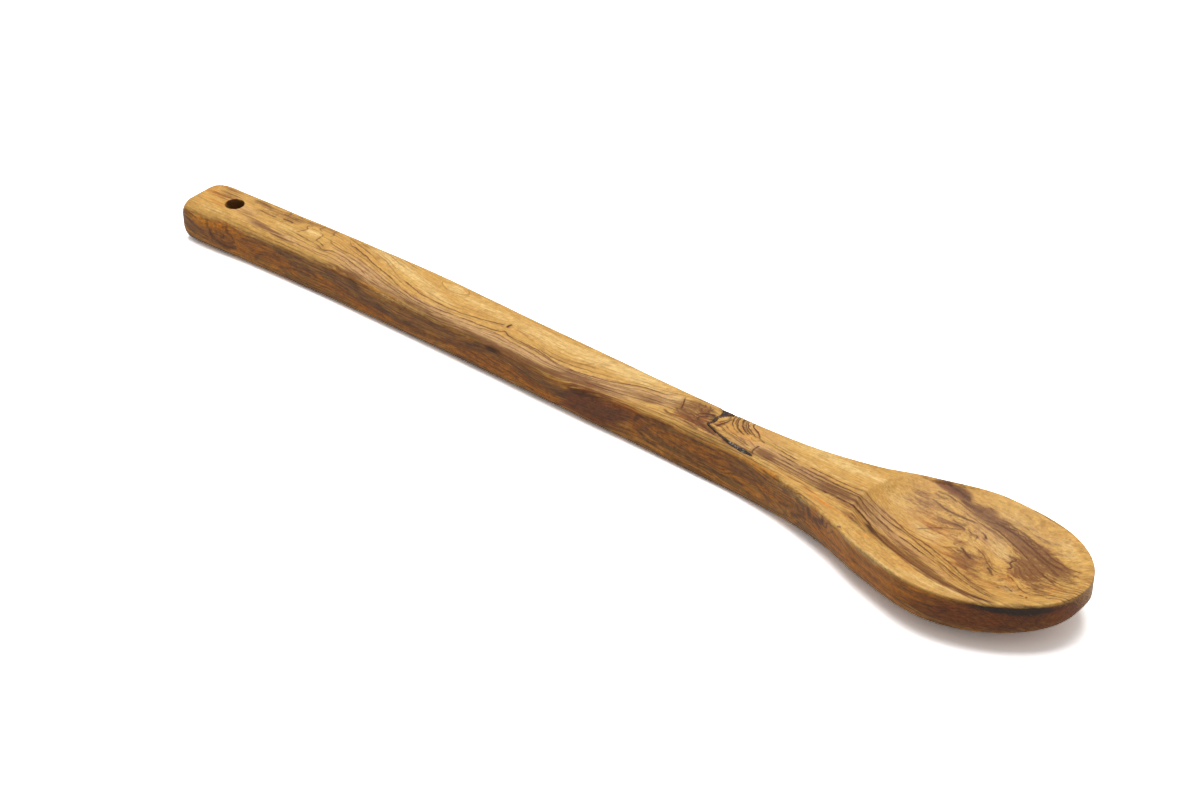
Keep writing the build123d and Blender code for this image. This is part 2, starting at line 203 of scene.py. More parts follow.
# Stains on the near side, in order along the spoon: place along, height, half length, half
# height, turn in degrees and strength.
SIDE_STAINS = {
    "brown": (
        (7, 5, 7, 2.2, -15, 0.35), (15, 6, 4, 2.4, 0, 0.5), (26, 8.2, 6, 1.2, 0, 0.3),
        (32, 4.8, 5, 2.4, 0, 0.5), (46, 8.2, 8, 1.8, 0, 0.4), (60, 9.4, 17, 2, -2, 0.6),
        (74, 5.6, 14, 1.2, 0, 0.6), (93, 7.6, 26, 2.8, 0, 0.6), (128, 9.2, 17, 2, -5, 0.9),
        (150, 7.6, 8, 2.8, 25, 0.9), (190, 6.4, 9, 1, -8, 0.5), (203, 9.2, 7, 2, 0, 0.55),
        (211, 11, 9, 1.6, -8, 0.3), (215, 5.5, 10, 2, 0, 0.4), (275, 8, 14, 3, 0, 0.25),
        (289, 12.2, 9, 1.6, 0, 0.9),
    ),
    "orange": (
        (18, 7.5, 14, 4, 0, 0.9), (34, 7, 12, 3.4, 0, 1), (44, 5, 7, 1.8, 0, 0.6),
        (58, 5.6, 8, 1.5, -8, 0.8), (70, 4.6, 13, 1.8, -3, 1.2), (88, 3.9, 9, 0.7, 0, 1.2),
        (118, 5.2, 20, 2.4, 0, 1.4), (134, 4.4, 14, 1.8, -6, 1.3), (169.8, 8, 1.5, 4.4, 0, 1.3),
        (184, 9, 14, 4, 0, 0.8), (206, 8, 16, 4, 0, 0.85), (236, 10, 14, 4, 0, 1.2),
        (252, 10, 12, 3.4, 0, 1.2), (266, 11.4, 12, 3, 0, 0.9),
    ),
    "rust": (
        (54, 4, 8, 1, 0, 0.5), (150, 5, 8, 2.4, 0, 0.8), (157, 7, 10.5, 4.6, 0, 1.15),
        (167, 10.4, 5, 2.5, 0, 0.8), (173, 8, 3, 3, 0, 0.5), (230, 11, 6, 2.4, 0, 0.3),
        (270, 8, 9, 2, 0, 0.3), (284, 10.6, 15, 4.4, 0, 1.3), (298, 12, 4, 5, 0, 0.6),
    ),
    "pale": (
        (8, 11.4, 9, 0.9, 0, 0.7), (16, 6.8, 4, 1, 0, 0.4), (30, 11.3, 10, 0.8, 0, 0.6),
        (88, 10.6, 14, 0.8, 0, 0.5), (125, 11.3, 12, 0.5, 0, 0.5), (128, 4.9, 8, 0.5, -8, 0.5),
        (182, 11.8, 8, 0.8, 0, 0.4), (232, 12, 12, 2.2, 0, 1.1), (243, 12.4, 4, 1.2, 0, 0.6),
        (250, 12, 11, 2.4, 0, 1.4),
    ),
    "soot": (
        (10.3, 9.2, 1, 2.2, 14, 0.62), (14.2, 8.2, 0.9, 1.4, 10, 0.42),
        (18.8, 10, 0.7, 1.8, 8, 0.6), (58.5, 9.2, 4.5, 1.3, 0, 0.5), (69, 9.8, 3.6, 1.4, 0, 0.6),
        (95, 4.7, 11, 0.5, 0, 0.5), (113, 8.6, 5, 0.8, 18, 0.6), (119.6, 9.5, 2.6, 1.1, 0, 0.8),
        (142, 6.6, 6, 0.9, -6, 0.5), (153, 9.4, 7, 1, 12, 0.7), (283, 13.7, 5, 1, 0, 0.6),
        (290.5, 13.9, 7.5, 1.5, 0, 1.25), (292, 10.5, 8, 2.6, 0, 0.35),
    ),
    "burl": (
        (18, 7, 14, 5, 0, 0.9), (40, 7, 12, 4, 0, 0.7), (160, 8, 10, 5, 0, 0.6),
        (190, 8, 14, 4, 0, 0.7), (212, 9, 10, 4, 0, 0.8), (231, 11, 8, 3, 0, 1.1),
        (250, 11, 12, 3, 0, 0.4),
    ),
    "clear": (
        (18, 7, 14, 4, 0, 0.5), (118, 4.6, 18, 2, 0, 0.3),
    ),
}
# Dark lines on the upper face: half width and strength, then points (along, across).
TOP_LINES = (
    (0.16, 0.9, (54.3, 7.2), (55.6, 5), (56.9, 4), (59, 3.75), (62.1, 3), (65.2, 2.2), (68.9, 0.9),
     (73, -0.15), (78, -1.45), (83, -3.1), (88, -4.3), (93, -4.6), (98, -4.3), (104, -3.4),
     (110, -2.7), (115, -2.1), (117.8, -1.3), (119.1, -0.4), (121.2, -1.5), (125, -1.6),
     (131.4, -1.6), (135, -2.3), (138.7, -3.1), (142.8, -3.3), (147, -3), (152, -2.2),
     (155.4, -1.6), (159.5, -0.4), (163.7, 1), (167.4, 1.9), (172, 2.1), (174, 3.1), (176.2, 4.7)),
    (0.14, 0.7, (121, -2.2), (126, -2.1), (131, -2.3), (136, -3), (141, -3.8), (146, -3.6),
     (151.7, -3), (157, -2.2), (161.6, -1.3), (165.8, 0), (171, 0.5), (175.2, 0.8), (179, 2.2)),
    (0.13, 0.45, (54.5, 8), (58, 6.7), (64, 5.6), (70, 4.4), (77.7, 1), (82.9, -0.3)),
    (0.15, 0.85, (77.7, 1), (82.9, -0.3), (87, -1.3), (91.8, -1.8), (98, -2), (103.3, -1.6),
     (108.5, -0.5), (113.2, 0.8), (115.8, 1.6), (117.4, 2.2)),
    (0.22, 0.35, (119.4, 2.6), (124, 1.9), (128.3, 0.6), (132.4, 0), (137, -0.5), (141.8, -0.5),
     (144.9, 0.5), (147, 2.1), (148.4, 4.7)),
    (0.14, 0.7, (49.8, 4.6), (50.9, 1.9), (52.2, 1.1), (57.4, 0.4), (62, 0.4), (66, -0.4),
     (69.4, -1.2), (73, -2.2), (78, -3.5), (83.5, -4.6), (88.7, -5.3), (95, -5.6), (101, -5.3),
     (106.4, -4.6), (111.6, -3.9), (117, -2.6), (122, -3.1), (127, -3.4), (132.4, -3.9),
     (137.6, -4.6), (142.8, -4.6), (152, -3.7), (160, -2.2), (168, -0.7), (175, -0.2)),
    (0.15, 0.8, (38.9, -1.35), (43.3, -1.7), (48.5, -2), (52.2, -3), (54.8, -1.7), (60, -2),
     (64.2, -2.75), (67.8, -3.5), (71.5, -4.8), (78, -6.1)),
    (0.12, 0.6, (33, -2.8), (40, -3), (46, -3.4), (52, -3.5), (57, -3.1), (62, -3.7), (66, -5),
     (72, -6), (78, -6.6)),
    (0.12, 0.5, (20, -6.9), (30, -6.1), (40, -5.6), (50, -5), (58, -4.6), (64, -5.6), (70, -6.6)),
    (0.1, 0.5, (57, 2.4), (62, 1.7), (67, 0.7), (72, -0.9), (78, -2.4), (84, -3.9)),
    (0.11, 0.55, (58, -0.7), (64, -1.1), (69, -2.2), (74, -3.7), (80, -4.9), (86, -5.6)),
    (0.26, 1.1, (118.3, 1.3), (118, 2.4), (118.4, 3.3)),
    (0.14, 0.9, (46.9, 3.3), (47.2, 1.2), (47.4, -0.5), (49.6, -0.8), (51.8, -1.7)),
    (0.13, 0.7, (41.6, 4.6), (40, 3.4), (41.2, 2.2), (40.3, 0.6), (39.6, -1.2)),
    (0.11, 0.5, (41.6, 3.2), (44.5, 3.4), (47, 3)),
    (0.14, 0.7, (43.6, 7.6), (44.4, 6), (44, 4.8), (45.6, 3.8)),
    (0.14, 0.7, (49, 6.8), (48.6, 5.5), (49.6, 4.5), (48.8, 3.5)),
    (0.26, 0.6, (31.2, 7), (30.6, 5.8), (31.6, 5), (31, 4)),
    (0.26, 0.6, (18, 4.4), (21, 4.7), (25.5, 3.6)),
    (0.22, 0.6, (23, 1.4), (26, 1), (29.5, 1.3)),
    (0.2, 0.8, (31.4, 1.8), (34, 2.3), (35.6, 2)),
    (0.22, 0.6, (29.5, 4.1), (34, 3.9), (35.6, 4.7)),
    (0.18, 0.6, (34.5, 6), (37.5, 5.4), (40.5, 5.6)),
    (0.16, 0.6, (26, -6.5), (36, -6), (44, -5.7)),
    (0.2, 0.9, (50.6, -2.6), (52.2, -3.1), (54, -2.5)),
    (0.14, 0.4, (89.2, 7.4), (90.2, 5.9), (92.5, 5), (95.5, 4.9), (98.4, 5.8), (99.2, 7.3),
     (97.4, 8.5)),
    (0.18, 1, (177.4, 4.8), (178.4, 2.6), (180.3, -1.2)),
    (0.15, 0.7, (182, 4.4), (183.2, 2.6), (181.6, 0.6)),
    (0.15, 0.7, (185.2, 4.8), (186.6, 3), (186, 0.6)),
    (0.3, 1.1, (184.5, -0.9), (186.2, 0.9), (188, 1.4), (189.4, 1.9)),
    (0.3, 1.1, (188.4, 0.4), (186.9, -0.4), (186.2, -1.6), (187.4, -2.6), (189.2, -2.6)),
    (0.3, 1.1, (192.2, -2.2), (192.9, -0.4), (193.5, 1.4), (193.8, 3)),
    (0.36, 1, (185.6, -2.4), (188.5, -3.5), (191.5, -4.7), (195, -5.5), (199, -6.2), (203, -6.7),
     (206, -7)),
    (0.16, 1.05, (193.8, 5.2), (194.1, 3.4), (194.8, 1.8), (196, 0.4), (197.4, -0.6), (199, -1.3)),
    (0.16, 1.05, (195, 5.4), (195.4, 3.6), (196.2, 2), (197.4, 0.7), (198.9, -0.3), (200.8, -1)),
    (0.16, 1.05, (196.2, 5.4), (196.6, 3.8), (197.4, 2.5), (198.5, 1.4), (199.9, 0.5),
     (201.6, -0.2)),
    (0.16, 1.05, (197.6, 5.2), (198, 4), (198.8, 3), (199.8, 2.2), (201, 1.6), (202.2, 0.8),
     (203.8, -0.1)),
    (0.16, 1.05, (199.4, 5), (200, 3.8), (201.4, 2.7), (202.9, 2), (204, 1), (205, 0), (207, -0.4)),
    (0.1, 0.6, (202.4, -0.2), (203.2, 0.5), (204.4, 0.4), (204.9, -0.5), (204.2, -1.3), (203, -1.2),
     (202.4, -0.3)),
    (0.11, 0.6, (199.6, -2), (201.4, -2.4), (203, -2.2), (204.6, -2.8), (206, -3.6)),
    (0.12, 0.7, (194.2, -2.2), (196, -2.8), (198.4, -3.4), (201, -3.9), (204, -4.6)),
    (0.2, 1, (206.3, -2.2), (206.1, -4), (206.4, -6.2)),
    (0.16, 0.85, (205, 0), (212, -0.4), (218, -0.8), (224, -1), (232, -1), (238, -0.3), (246, 0),
     (251, -1), (256, -1.6), (260, -2.7), (264, -4), (268, -5.8), (272, -7.8), (276, -9.5),
     (280, -11), (286, -13.6)),
    (0.18, 0.9, (206, -1.6), (214, -1.8), (222, -2.4), (230, -2.5), (237, -2.4), (240, -1.6),
     (246, -1.4), (251, -1.6), (256, -3), (260, -4.5), (264, -6.3), (268, -8), (272, -9.6),
     (276, -11.5), (282, -14), (287, -16)),
    (0.22, 0.9, (210, -3), (220, -3.6), (230, -3.6), (238, -3.2), (244, -3.2), (249.9, -3.8)),
    (0.13, 0.7, (260, -6), (264, -7.6), (268, -9.6), (272, -11.8), (276, -13.8), (280, -15.6),
     (285, -17.3)),
    (0.13, 0.6, (245, -5), (252, -7), (260, -9.7), (268, -13.2), (274, -16), (280, -17.8)),
    (0.34, 1.1, (222, -6.8), (232, -6.8), (238, -6.9), (243, -7.1), (247, -9.4), (252, -12),
     (258, -14.8), (264, -16.9), (270, -18), (276, -18.6), (282, -18.6), (288, -17.5)),
    (0.16, 1.15, (249.9, -3.8), (253.3, -4.1), (256.4, -5.1), (260, -6.1)),
    (0.13, 0.7, (251.4, 1.2), (254, 3.6), (257, 5.6), (261.5, 7.2)),
    (0.24, 1, (264.2, 2.2), (265.6, 1.6), (266.6, 0.9), (268.9, 0.2)),
    (0.24, 1, (265.8, 8.9), (267.6, 8), (268.2, 7.1)),
    (0.2, 0.8, (258.4, 7.6), (260.5, 7.9), (262.2, 7.2)),
    (0.22, 0.9, (273.4, -0.5), (275, -1.4), (276.6, -3)),
    (0.16, 0.7, (260.4, 0.1), (262.6, 0.5), (264.6, -0.2)),
    (0.2, 1, (276, 5.8), (278.3, 5), (277.2, 3.6), (278.8, 2.2), (277.6, 1.2)),
    (0.15, 1.15, (281.3, -5.3), (283, -6.2), (284.7, -7.3)),
    (0.18, 0.9, (287, -8.1), (288.5, -8.8)),
    (0.18, 0.9, (289, -8.5), (289.8, -9.5)),
    (0.14, 0.9, (279.8, -6.7), (281.2, -7.3)),
    (0.18, 0.8, (249.6, 13.6), (253, 13.9), (255.8, 13.3)),
    (0.2, 0.8, (251, 10.9), (255, 10.4), (259.5, 10.3), (264, 10.5), (268, 10.2)),
    (0.2, 0.9, (258, 14.6), (265, 12.9), (272, 12), (279, 10), (285, 7.4), (292, 5)),
    (0.16, 0.8, (262, 11.6), (269, 10.8), (276, 8.6), (282, 5.6), (288, 2), (294, -1)),
    (0.14, 0.7, (272, 13.2), (279, 11.4), (285, 9), (291, 6.6), (296, 5.6)),
    (0.11, 0.5, (280, 6.2), (286, 3.2), (292, -0.4), (297, -3)),
    (0.13, 0.8, (265.2, 4.8), (270, 3.2), (273, 0.6), (276.2, -0.9), (279.8, -0.9), (282.4, -2.5),
     (285.5, -5.1), (289.2, -6.7), (292.8, -5.6), (296, -5.4)),
    (0.11, 0.5, (268, 4.6), (272, 2.6), (275, 0.2), (280, 0.2), (284, -2.6), (287, -4.6),
     (291, -4.4)),
    (0.3, 1, (240.2, -16.6), (240.9, -15.8)),
    (0.36, 0.9, (249, 16.2), (253.5, 15.9), (259, 14.9)),
    (0.26, 0.8, (256, 14.2), (262, 13.3), (268, 12.7)),
    (0.2, 0.7, (263, 15.2), (269, 13.8), (276, 12.4), (283, 10.2)),
    (0.24, 0.7, (276, 9.8), (282, 7.8), (288, 5), (293, 1.4)),
    (0.4, 1, (243.2, -7.4), (246, -9.6), (250, -11.2), (255, -14), (261, -16.6), (268, -18.2),
     (275, -18.9)),
    (0.26, 0.8, (247, -7.6), (252, -9.6), (258, -12.6), (264, -15), (271, -17), (279, -18.2)),
    (0.22, 0.7, (250, -7), (256, -9.4), (263, -12.6), (270, -15.2), (278, -17.2)),
    (0.2, 0.7, (222, -5.2), (230, -5.2), (238, -5), (246, -5.2)),
    (0.18, 0.7, (208, -5.2), (216, -5.6), (224, -6.1), (232, -6), (238, -5.9)),
    (0.22, 0.8, (178.6, -1.2), (180.6, -2.4), (183.6, -2.6), (186, -3.8), (189, -4.9)),
    (0.24, 0.8, (176, -3.4), (180, -4.6), (184.6, -5), (189.6, -6)),
    (0.2, 0.7, (180.6, -0.6), (182.6, -1.6), (184.4, -1.2), (185.6, -2.6)),
    (0.2, 0.7, (150, -5.4), (158, -4.9), (166, -4), (174, -2.6)),
    (0.18, 0.6, (152, -4.5), (160, -3.6), (168, -2), (175.6, -1.4)),
    (0.18, 0.6, (239.2, -9.4), (243.6, -11.6), (248.6, -13), (254, -16.4)),
    (0.26, 0.7, (240, -11.4), (244, -12.6), (247.6, -14.6)),
    (0.16, 0.6, (262.4, 8.2), (264, 7.2), (265.6, 7.4), (266, 5.6)),
    (0.2, 0.7, (275.2, 7.4), (276, 5.6), (277.6, 4.6), (276.8, 3)),
    (0.2, 0.6, (249.4, 12.9), (251.4, 12.7), (253.2, 13)),
    (0.18, 0.6, (249.8, 11.2), (252.6, 10.8)),
    (0.18, 0.6, (257.4, 8.8), (259.4, 8.2), (261.8, 8.6)),
    (0.15, 0.9, (194.4, 5.6), (194.8, 4), (195.5, 2.2), (196.8, 0.9), (198.2, -0.1), (200.2, -1)),
    (0.15, 0.9, (197, 5.3), (197.4, 4), (198.2, 2.8), (199.3, 1.9), (200.6, 1), (202.4, 0.2)),
    (0.15, 0.8, (194.2, -0.4), (195.6, -1.2), (197.6, -2), (200, -2.5), (203, -3.3)),
    (0.15, 0.8, (193.6, -1.4), (195.2, -2.1), (198, -2.9), (201.2, -3.4), (204.6, -4)),
    (0.22, 0.9, (192.4, 4.6), (193.2, 2.8), (192.8, 1.2), (191.6, 0)),
    (0.2, 0.8, (190.4, -3.6), (194, -4.8), (198, -5.6), (202, -6.2), (206, -6.9)),
    (0.2, 0.8, (187.4, 3.8), (186.4, 2.4), (187.6, 1.4), (186.8, 0.2)),
    (0.18, 0.7, (184, 4.6), (184.8, 3.4), (184.2, 2.2), (185.4, 1.2)),
)
# Dark lines on the near side: half width and strength, then points (along, height).
SIDE_LINES = (
    (0.53, 0.87, (13.2, 8.8), (13, 7), (14, 5.2), (16.5, 4.2), (20, 4.2), (23.5, 4.9)),
    (0.38, 0.65, (15, 8.6), (18, 8.9), (20.5, 8.2), (21.8, 6.6), (20.5, 5.2), (18, 4.9),
     (15.8, 5.8)),
    (0.3, 0.99, (16.6, 7.4), (17.6, 7.6), (18, 6.8), (17.2, 6.3), (16.4, 6.8)),
    (0.42, 0.55, (1, 6.4), (4, 5.2), (7, 3.6)),
    (0.42, 0.55, (1, 9), (5, 7.6), (9, 6), (12, 4)),
    (0.38, 0.55, (24, 8.9), (29, 9.2), (34, 9.8), (40, 9.4), (46, 8.4), (52, 8.7)),
    (0.49, 0.55, (29.6, 3), (30.6, 5), (32.6, 6.5), (36, 6.9), (40, 6.2)),
    (0.42, 0.55, (38, 4), (42, 5.6), (47, 6), (52, 5.2)),
    (0.38, 0.55, (48, 7), (54, 6.2), (60, 5.2), (66, 4.2)),
    (0.38, 0.55, (56, 7.4), (62, 6.4), (68, 5.4), (76, 4)),
    (1.04, 0.65, (77.7, 5.1), (85.5, 4.6), (95, 4.3), (101, 5.1), (106.4, 5.9), (110.5, 6.9),
     (113.2, 7.7), (116.8, 8.5), (119.9, 9.6), (122.5, 8.75), (125, 7.7), (130.3, 7.2), (135, 6.4),
     (139.2, 5.6), (142.8, 5.6), (148, 7.7), (152, 10.3)),
    (0.38, 0.55, (80, 10.4), (88, 9.4), (96, 8.8), (104, 9.2), (110, 10.2), (115, 11)),
    (1.14, 0.75, (146, 8.6), (152.3, 9.7), (157.5, 11), (161.6, 12.3)),
    (0.57, 0.87, (186, 11.6), (178, 11.8), (171.8, 11.2), (169.2, 9.2), (169.6, 6.8), (172.5, 4.8),
     (178, 3.6)),
    (0.49, 0.65, (187, 10.6), (179, 10.6), (174, 9.6), (173, 7.8), (175.4, 6), (181, 4.6)),
    (0.42, 0.55, (190, 9.8), (182, 9.6), (177, 8.6), (177.5, 7), (183, 5.6), (190, 4.8)),
    (0.38, 0.49, (200, 9.6), (190, 9), (184.6, 8), (186, 6.9), (194, 6.3)),
    (0.57, 1, (180.6, 7.3), (181.6, 7.2)),
    (0.49, 1, (181.9, 6.1), (182.5, 6)),
    (0.38, 0.65, (187.6, 11.2), (190, 12.2), (192.4, 11.2), (190, 10.3), (187.8, 11)),
    (0.38, 0.55, (196, 12.4), (203, 11.8), (210, 10.4), (215, 8.4)),
    (0.38, 0.55, (200, 8.4), (207, 8.4), (212, 7), (215, 5)),
    (0.49, 0.65, (217, 12.6), (221, 11.6), (223.4, 9.8), (221.5, 8), (217, 7.2)),
    (0.49, 0.65, (221, 13), (225.6, 12), (227.6, 10), (226, 7.6), (222, 6)),
    (0.61, 0.87, (229, 12.6), (229.4, 11), (230.5, 10.2), (233, 10.8), (234.8, 12), (234, 13)),
    (0.49, 0.75, (230.5, 9), (232.5, 9.6), (234.5, 9)),
    (0.49, 0.65, (224, 10.6), (226, 9), (229, 8.2)),
    (0.49, 0.38, (243, 13), (248, 12), (254, 11.8), (260, 12.6), (266, 13.6)),
    (0.46, 0.43, (244, 10), (252, 9), (262, 9.4), (272, 10.6), (280, 12.6)),
    (0.46, 0.43, (256, 8.2), (264, 8.4), (272, 9.4), (280, 11), (286, 13)),
    (0.46, 0.55, (284, 7), (288, 9), (290.5, 12)),
    (0.46, 0.55, (288, 7.4), (291.4, 9.4), (293.4, 12)),
    (0.42, 0.55, (292, 8), (294.6, 10), (296, 12.4)),
    (0.38, 0.55, (150, 4.4), (156, 6), (162, 8.4), (166, 11)),
    (0.38, 0.55, (154, 3.6), (161, 5.6), (166, 8), (168, 10)),
)
# Fine lines on the near side, all of one width and strength: points (along, height).
FINE_SIDE_LINES = (
    ((104, 5.6), (110, 4.6), (116, 3.6)),
    ((108, 6.6), (116, 5.2), (124, 3.8)),
    ((113, 7.6), (121, 6), (130, 4.2)),
    ((119, 8), (127, 6.4), (137, 4.4)),
    ((126, 7), (133, 5.8), (141, 4.4)),
    ((88, 4), (95, 3.6)),
    ((148, 4), (154, 6), (160, 8.5)),
    ((152, 3.6), (158, 6), (164, 9)),
    ((157, 3.6), (162, 5.6), (167, 8.4)),
    ((150, 6), (155, 8), (159, 10.4)),
    ((66, 5.4), (73, 4.6), (80, 3.6)),
    ((70, 6.4), (78, 5.6), (86, 4.6)),
    ((176, 10.8), (184, 11.4), (194, 11.2), (203, 10.2)),
    ((178, 5.2), (187, 4.2), (197, 4.6), (208, 5.6)),
    ((188, 7.6), (196, 7.4), (205, 8), (214, 9.6)),
    ((262, 12), (270, 12.6), (278, 13.2)),
    ((266, 10), (276, 10.6), (286, 10)),
    ((272, 8.4), (282, 8.6), (292, 7.4)),
    ((30, 10.8), (44, 10.6), (58, 10.9), (72, 10.4)),
    ((34, 7.6), (42, 7.2), (52, 7.6)),
    ((0.6, 11), (8, 10.6), (16, 11.2), (26, 10.6)),
)
# Nicks in the edges: place along, across and up, radius and depth.
NICKS = (
    (240.6, -16.4, 14.2, 1.1, 0.5),
    (223.4, -10.9, 14.2, 1.0, 0.35),
    (246.8, -19.0, 14.2, 1.2, 0.3),
    (231.0, -13.0, 14.0, 0.9, 0.25),
    (283.0, -20.8, 15.1, 1.3, 0.3),
    (293.5, -13.6, 15.2, 1.0, 0.25),
    (164.4, -7.0, 10.4, 0.5, 0.2),
    (245.8, -9.4, 13.9, 1.2, 0.3),
)
# The bark's centre line: place along as a share of its length, place across from the far edge as
# a share of its reach, and width as a share of its mean width.
BARK_SEAM_SHARES = np.array((
    (0.08, -0.15, 4.2), (0.08, -0.01, 3.3), (0.075, 0.12, 2.1), (0.055, 0.245, 0.95),
    (0.02, 0.365, 0.55), (0.02, 0.455, 0.75), (0.035, 0.555, 0.55), (0.02, 0.635, 0.42),
    (-0.005, 0.70, 0.38), (0.08, 0.78, 0.32), (0.215, 0.87, 0.30), (0.375, 0.945, 0.32),
    (0.55, 1.01, 0.46), (0.74, 1.055, 0.56), (0.90, 1.08, 0.42), (0.99, 1.10, 0.12),
))
# Where along the plank, as shares up to the widest place, the handle turns into the bowl.
BOWL_START_SHARE = 0.72
BOWL_FULL_SHARE = 0.905
# Handle length of a cubic curve that turns a quarter, as a share of its radius.
QUARTER_SHARE = 0.5523
# Most of a half width or a wall's height that a rounded corner takes, most of the height that an
# upper corner takes, and how much of the half width the bowl's belly takes.
CORNER_SHARE = 0.95
UPPER_CORNER_SHARE = 0.55
BELLY_SHARE = 0.8
# Points of a section: upper face, near upper corner, near wall, both lower corners, sole, far wall
# and far upper corner.
TOP_POINTS = 78
NEAR_POINTS = 9
WALL_POINTS = 14
SOLE_EDGE_POINTS = 9
SOLE_POINTS = 12
FAR_WALL_POINTS = 9
FAR_POINTS = 6
# Half width and strength of the fine lines on the near side.
FINE_LINE = (0.34, 0.6)
# Sheets that the dark lines are dealt to, so that the lines of one sheet keep apart.
TOP_SHEETS = tuple("upper lines %d" % i for i in range(3))
SIDE_SHEETS = tuple("side lines %d" % i for i in range(2))


def length(name, description, millimetres):
    """A length property whose default is given in millimetres."""
    return bpy.props.FloatProperty(
        name=name, description=description, default=millimetres * MM, unit="LENGTH", precision=5)


def display_colour(name, description, red, green, blue):
    """A colour property whose default is given as display values from 0 to 255."""
    linear = [((c / 255 + 0.055) / 1.055) ** 2.4 for c in (red, green, blue)]
    return bpy.props.FloatVectorProperty(
        name=name, description=description, default=(*linear, 1), size=4, subtype="COLOR", min=0, max=1)


class SpoonSizes(bpy.types.PropertyGroup):
    """Sizes of the carved form, which are the construction's but for the worn rim of the bowl, and
    of what only the scene shows: the hole's worn mouths, the lie of the bark in its groove, and
    the waves that sanding leaves."""

    spoon_length: length("Length", "From the handle's end to the bowl's tip", 300.0)
    handle_width: length("Handle width", "Across the handle", 16.6)
    handle_thickness: length("Handle thickness", "Through the handle", 13.1)
    plank_sway: length("Sway", "How far the plank's centre line bends to the near side", 2.1)
    bowl_width: length("Bowl width", "Across the bowl at its widest place", 43.4)
    bowl_thickness: length("Bowl thickness", "Height of the rim at the tip", 15.3)
    bowl_reach: length("Bowl reach", "From the widest place to the tip", 32.9)
    rim_wall: length("Rim wall", "Upright wall between rim and belly", 7.0)
    tip_wall: length("Tip wall", "The same at the tip", 5.2)
    belly_lift: length("Belly lift", "How far the underside climbs to the tip", 11.4)
    hollow_depth: length("Hollow depth", "Depth of the bowl's hollow", 6.6)
    hollow_neck_length: length("Hollow neck", "From the widest place to the ridge", 29.8)
    rim_width: length("Rim width", "Flat top of the rim, worn thinner than it is cut", 1.0)
    near_rim_width: length("Near flat", "Flat beside the hollow on the neck", 8.8)
    far_edge_radius: length("Far edge", "Radius of the far upper edge", 3.0)
    near_edge_radius: length("Near edge", "Mean radius of the near upper edge", 3.6)
    sole_edge_radius: length("Sole edge", "Mean radius of the lower edges", 2.6)
    rim_edge_radius: length("Rim edge", "Radius of the bowl's outer rim edge, as it is worn", 0.6)
    end_edge_length: length("End rounding", "Length over which the handle's end rounds", 3.4)
    end_edge_radius: length("End edge", "Taken off the end's upper and lower edges", 3.0)
    end_near_cut: length("End near cut", "Taken off the end's near corner", 1.6)
    end_far_length: length("End far length", "Length of the far corner's rounding", 8.0)
    end_far_cut: length("End far cut", "Taken off the end's far corner", 5.2)
    hole_diameter: length("Hole", "Diameter of the hanging hole", 5.6)
    hole_inset: length("Hole inset", "From the handle's end to the hole", 14.7)
    hole_wear: length("Hole wear", "How far the hole's mouths are worn wider", 0.12)
    hole_mouth: length("Hole mouth", "Depth over which the hole's mouths are worn", 1.2)
    hole_waver: length("Hole waver", "How far the bore's radius wanders", 0.22)
    bark_length: length("Bark length", "Bark along the spoon", 17.5)
    bark_reach: length("Bark reach", "Bark across the spoon", 11.0)
    bark_width: length("Bark width", "Mean width of the bark seam", 1.5)
    bark_ridge_gap: length("Bark to ridge", "From the bark to the hollow's ridge", 30.2)
    bark_far_inset: length("Bark inset", "From the far edge to the bark", 1.3)
    bark_groove: length("Bark groove", "Depth of the groove that the seam lies in", 0.6)
    bark_sink: length("Bark sink", "How far the seam's middle lies under the face", 0.22)
    bark_gnarl: length("Bark gnarl", "Depth of the lumps on the bark", 0.13)
    bark_crown: length("Bark crown", "Height of the seam's middle over its rim", 0.1)
    bark_root: length("Bark root", "Depth of the seam under its rim", 0.9)
    row_step: length("Row step", "Distance between the mesh's sections", 0.45)
    hand_waver: length("Waver", "Depth of the waves that hand sanding leaves", 0.07)
    worn_edge: length("Worn edge", "Rounding between the flat face and the hollow", 0.35)


class WoodLook(bpy.types.PropertyGroup):
    """Colours of the wood and the bark, as seen on a display."""

    gold: display_colour("Gold", "Clear sapwood", 240, 190, 104)
    honey: display_colour("Honey", "Deeper tone between the growth lines", 212, 150, 76)
    # Pale also serves as painted sheen beside the burl and past the hollow's ridge.
    pale: display_colour("Pale", "Palest clear wood", 250, 208, 134)
    # Rose also serves as painted sheen along the near upper edge and past the hollow's ridge.
    rose: display_colour("Rose", "Beige wood beside the heartwood", 222, 174, 120)
    side: display_colour("Side", "Lighter streaks on the sides", 236, 154, 62)
    side_dark: display_colour("Side, dark", "Darker streaks on the sides", 146, 88, 38)
    brown: display_colour("Brown", "Smoky heartwood", 140, 92, 54)
    rust: display_colour("Rust", "Reddish heartwood", 142, 74, 34)
    orange: display_colour("Orange", "Glowing wood low on the sides", 226, 138, 42)
    bore: display_colour("Bore", "Inside the hanging hole", 92, 50, 26)
    line: display_colour("Line", "Dark growth lines", 108, 64, 36)
    soot: display_colour("Soot", "Stains by bark and knots", 38, 30, 25)
    bark: display_colour("Bark", "Ingrown bark", 34, 29, 26)
    # Painted glints: the silvery grey speckled into the bark's colour.
    bark_glint: display_colour("Bark glint", "Silvery resin on the bark", 150, 150, 145)


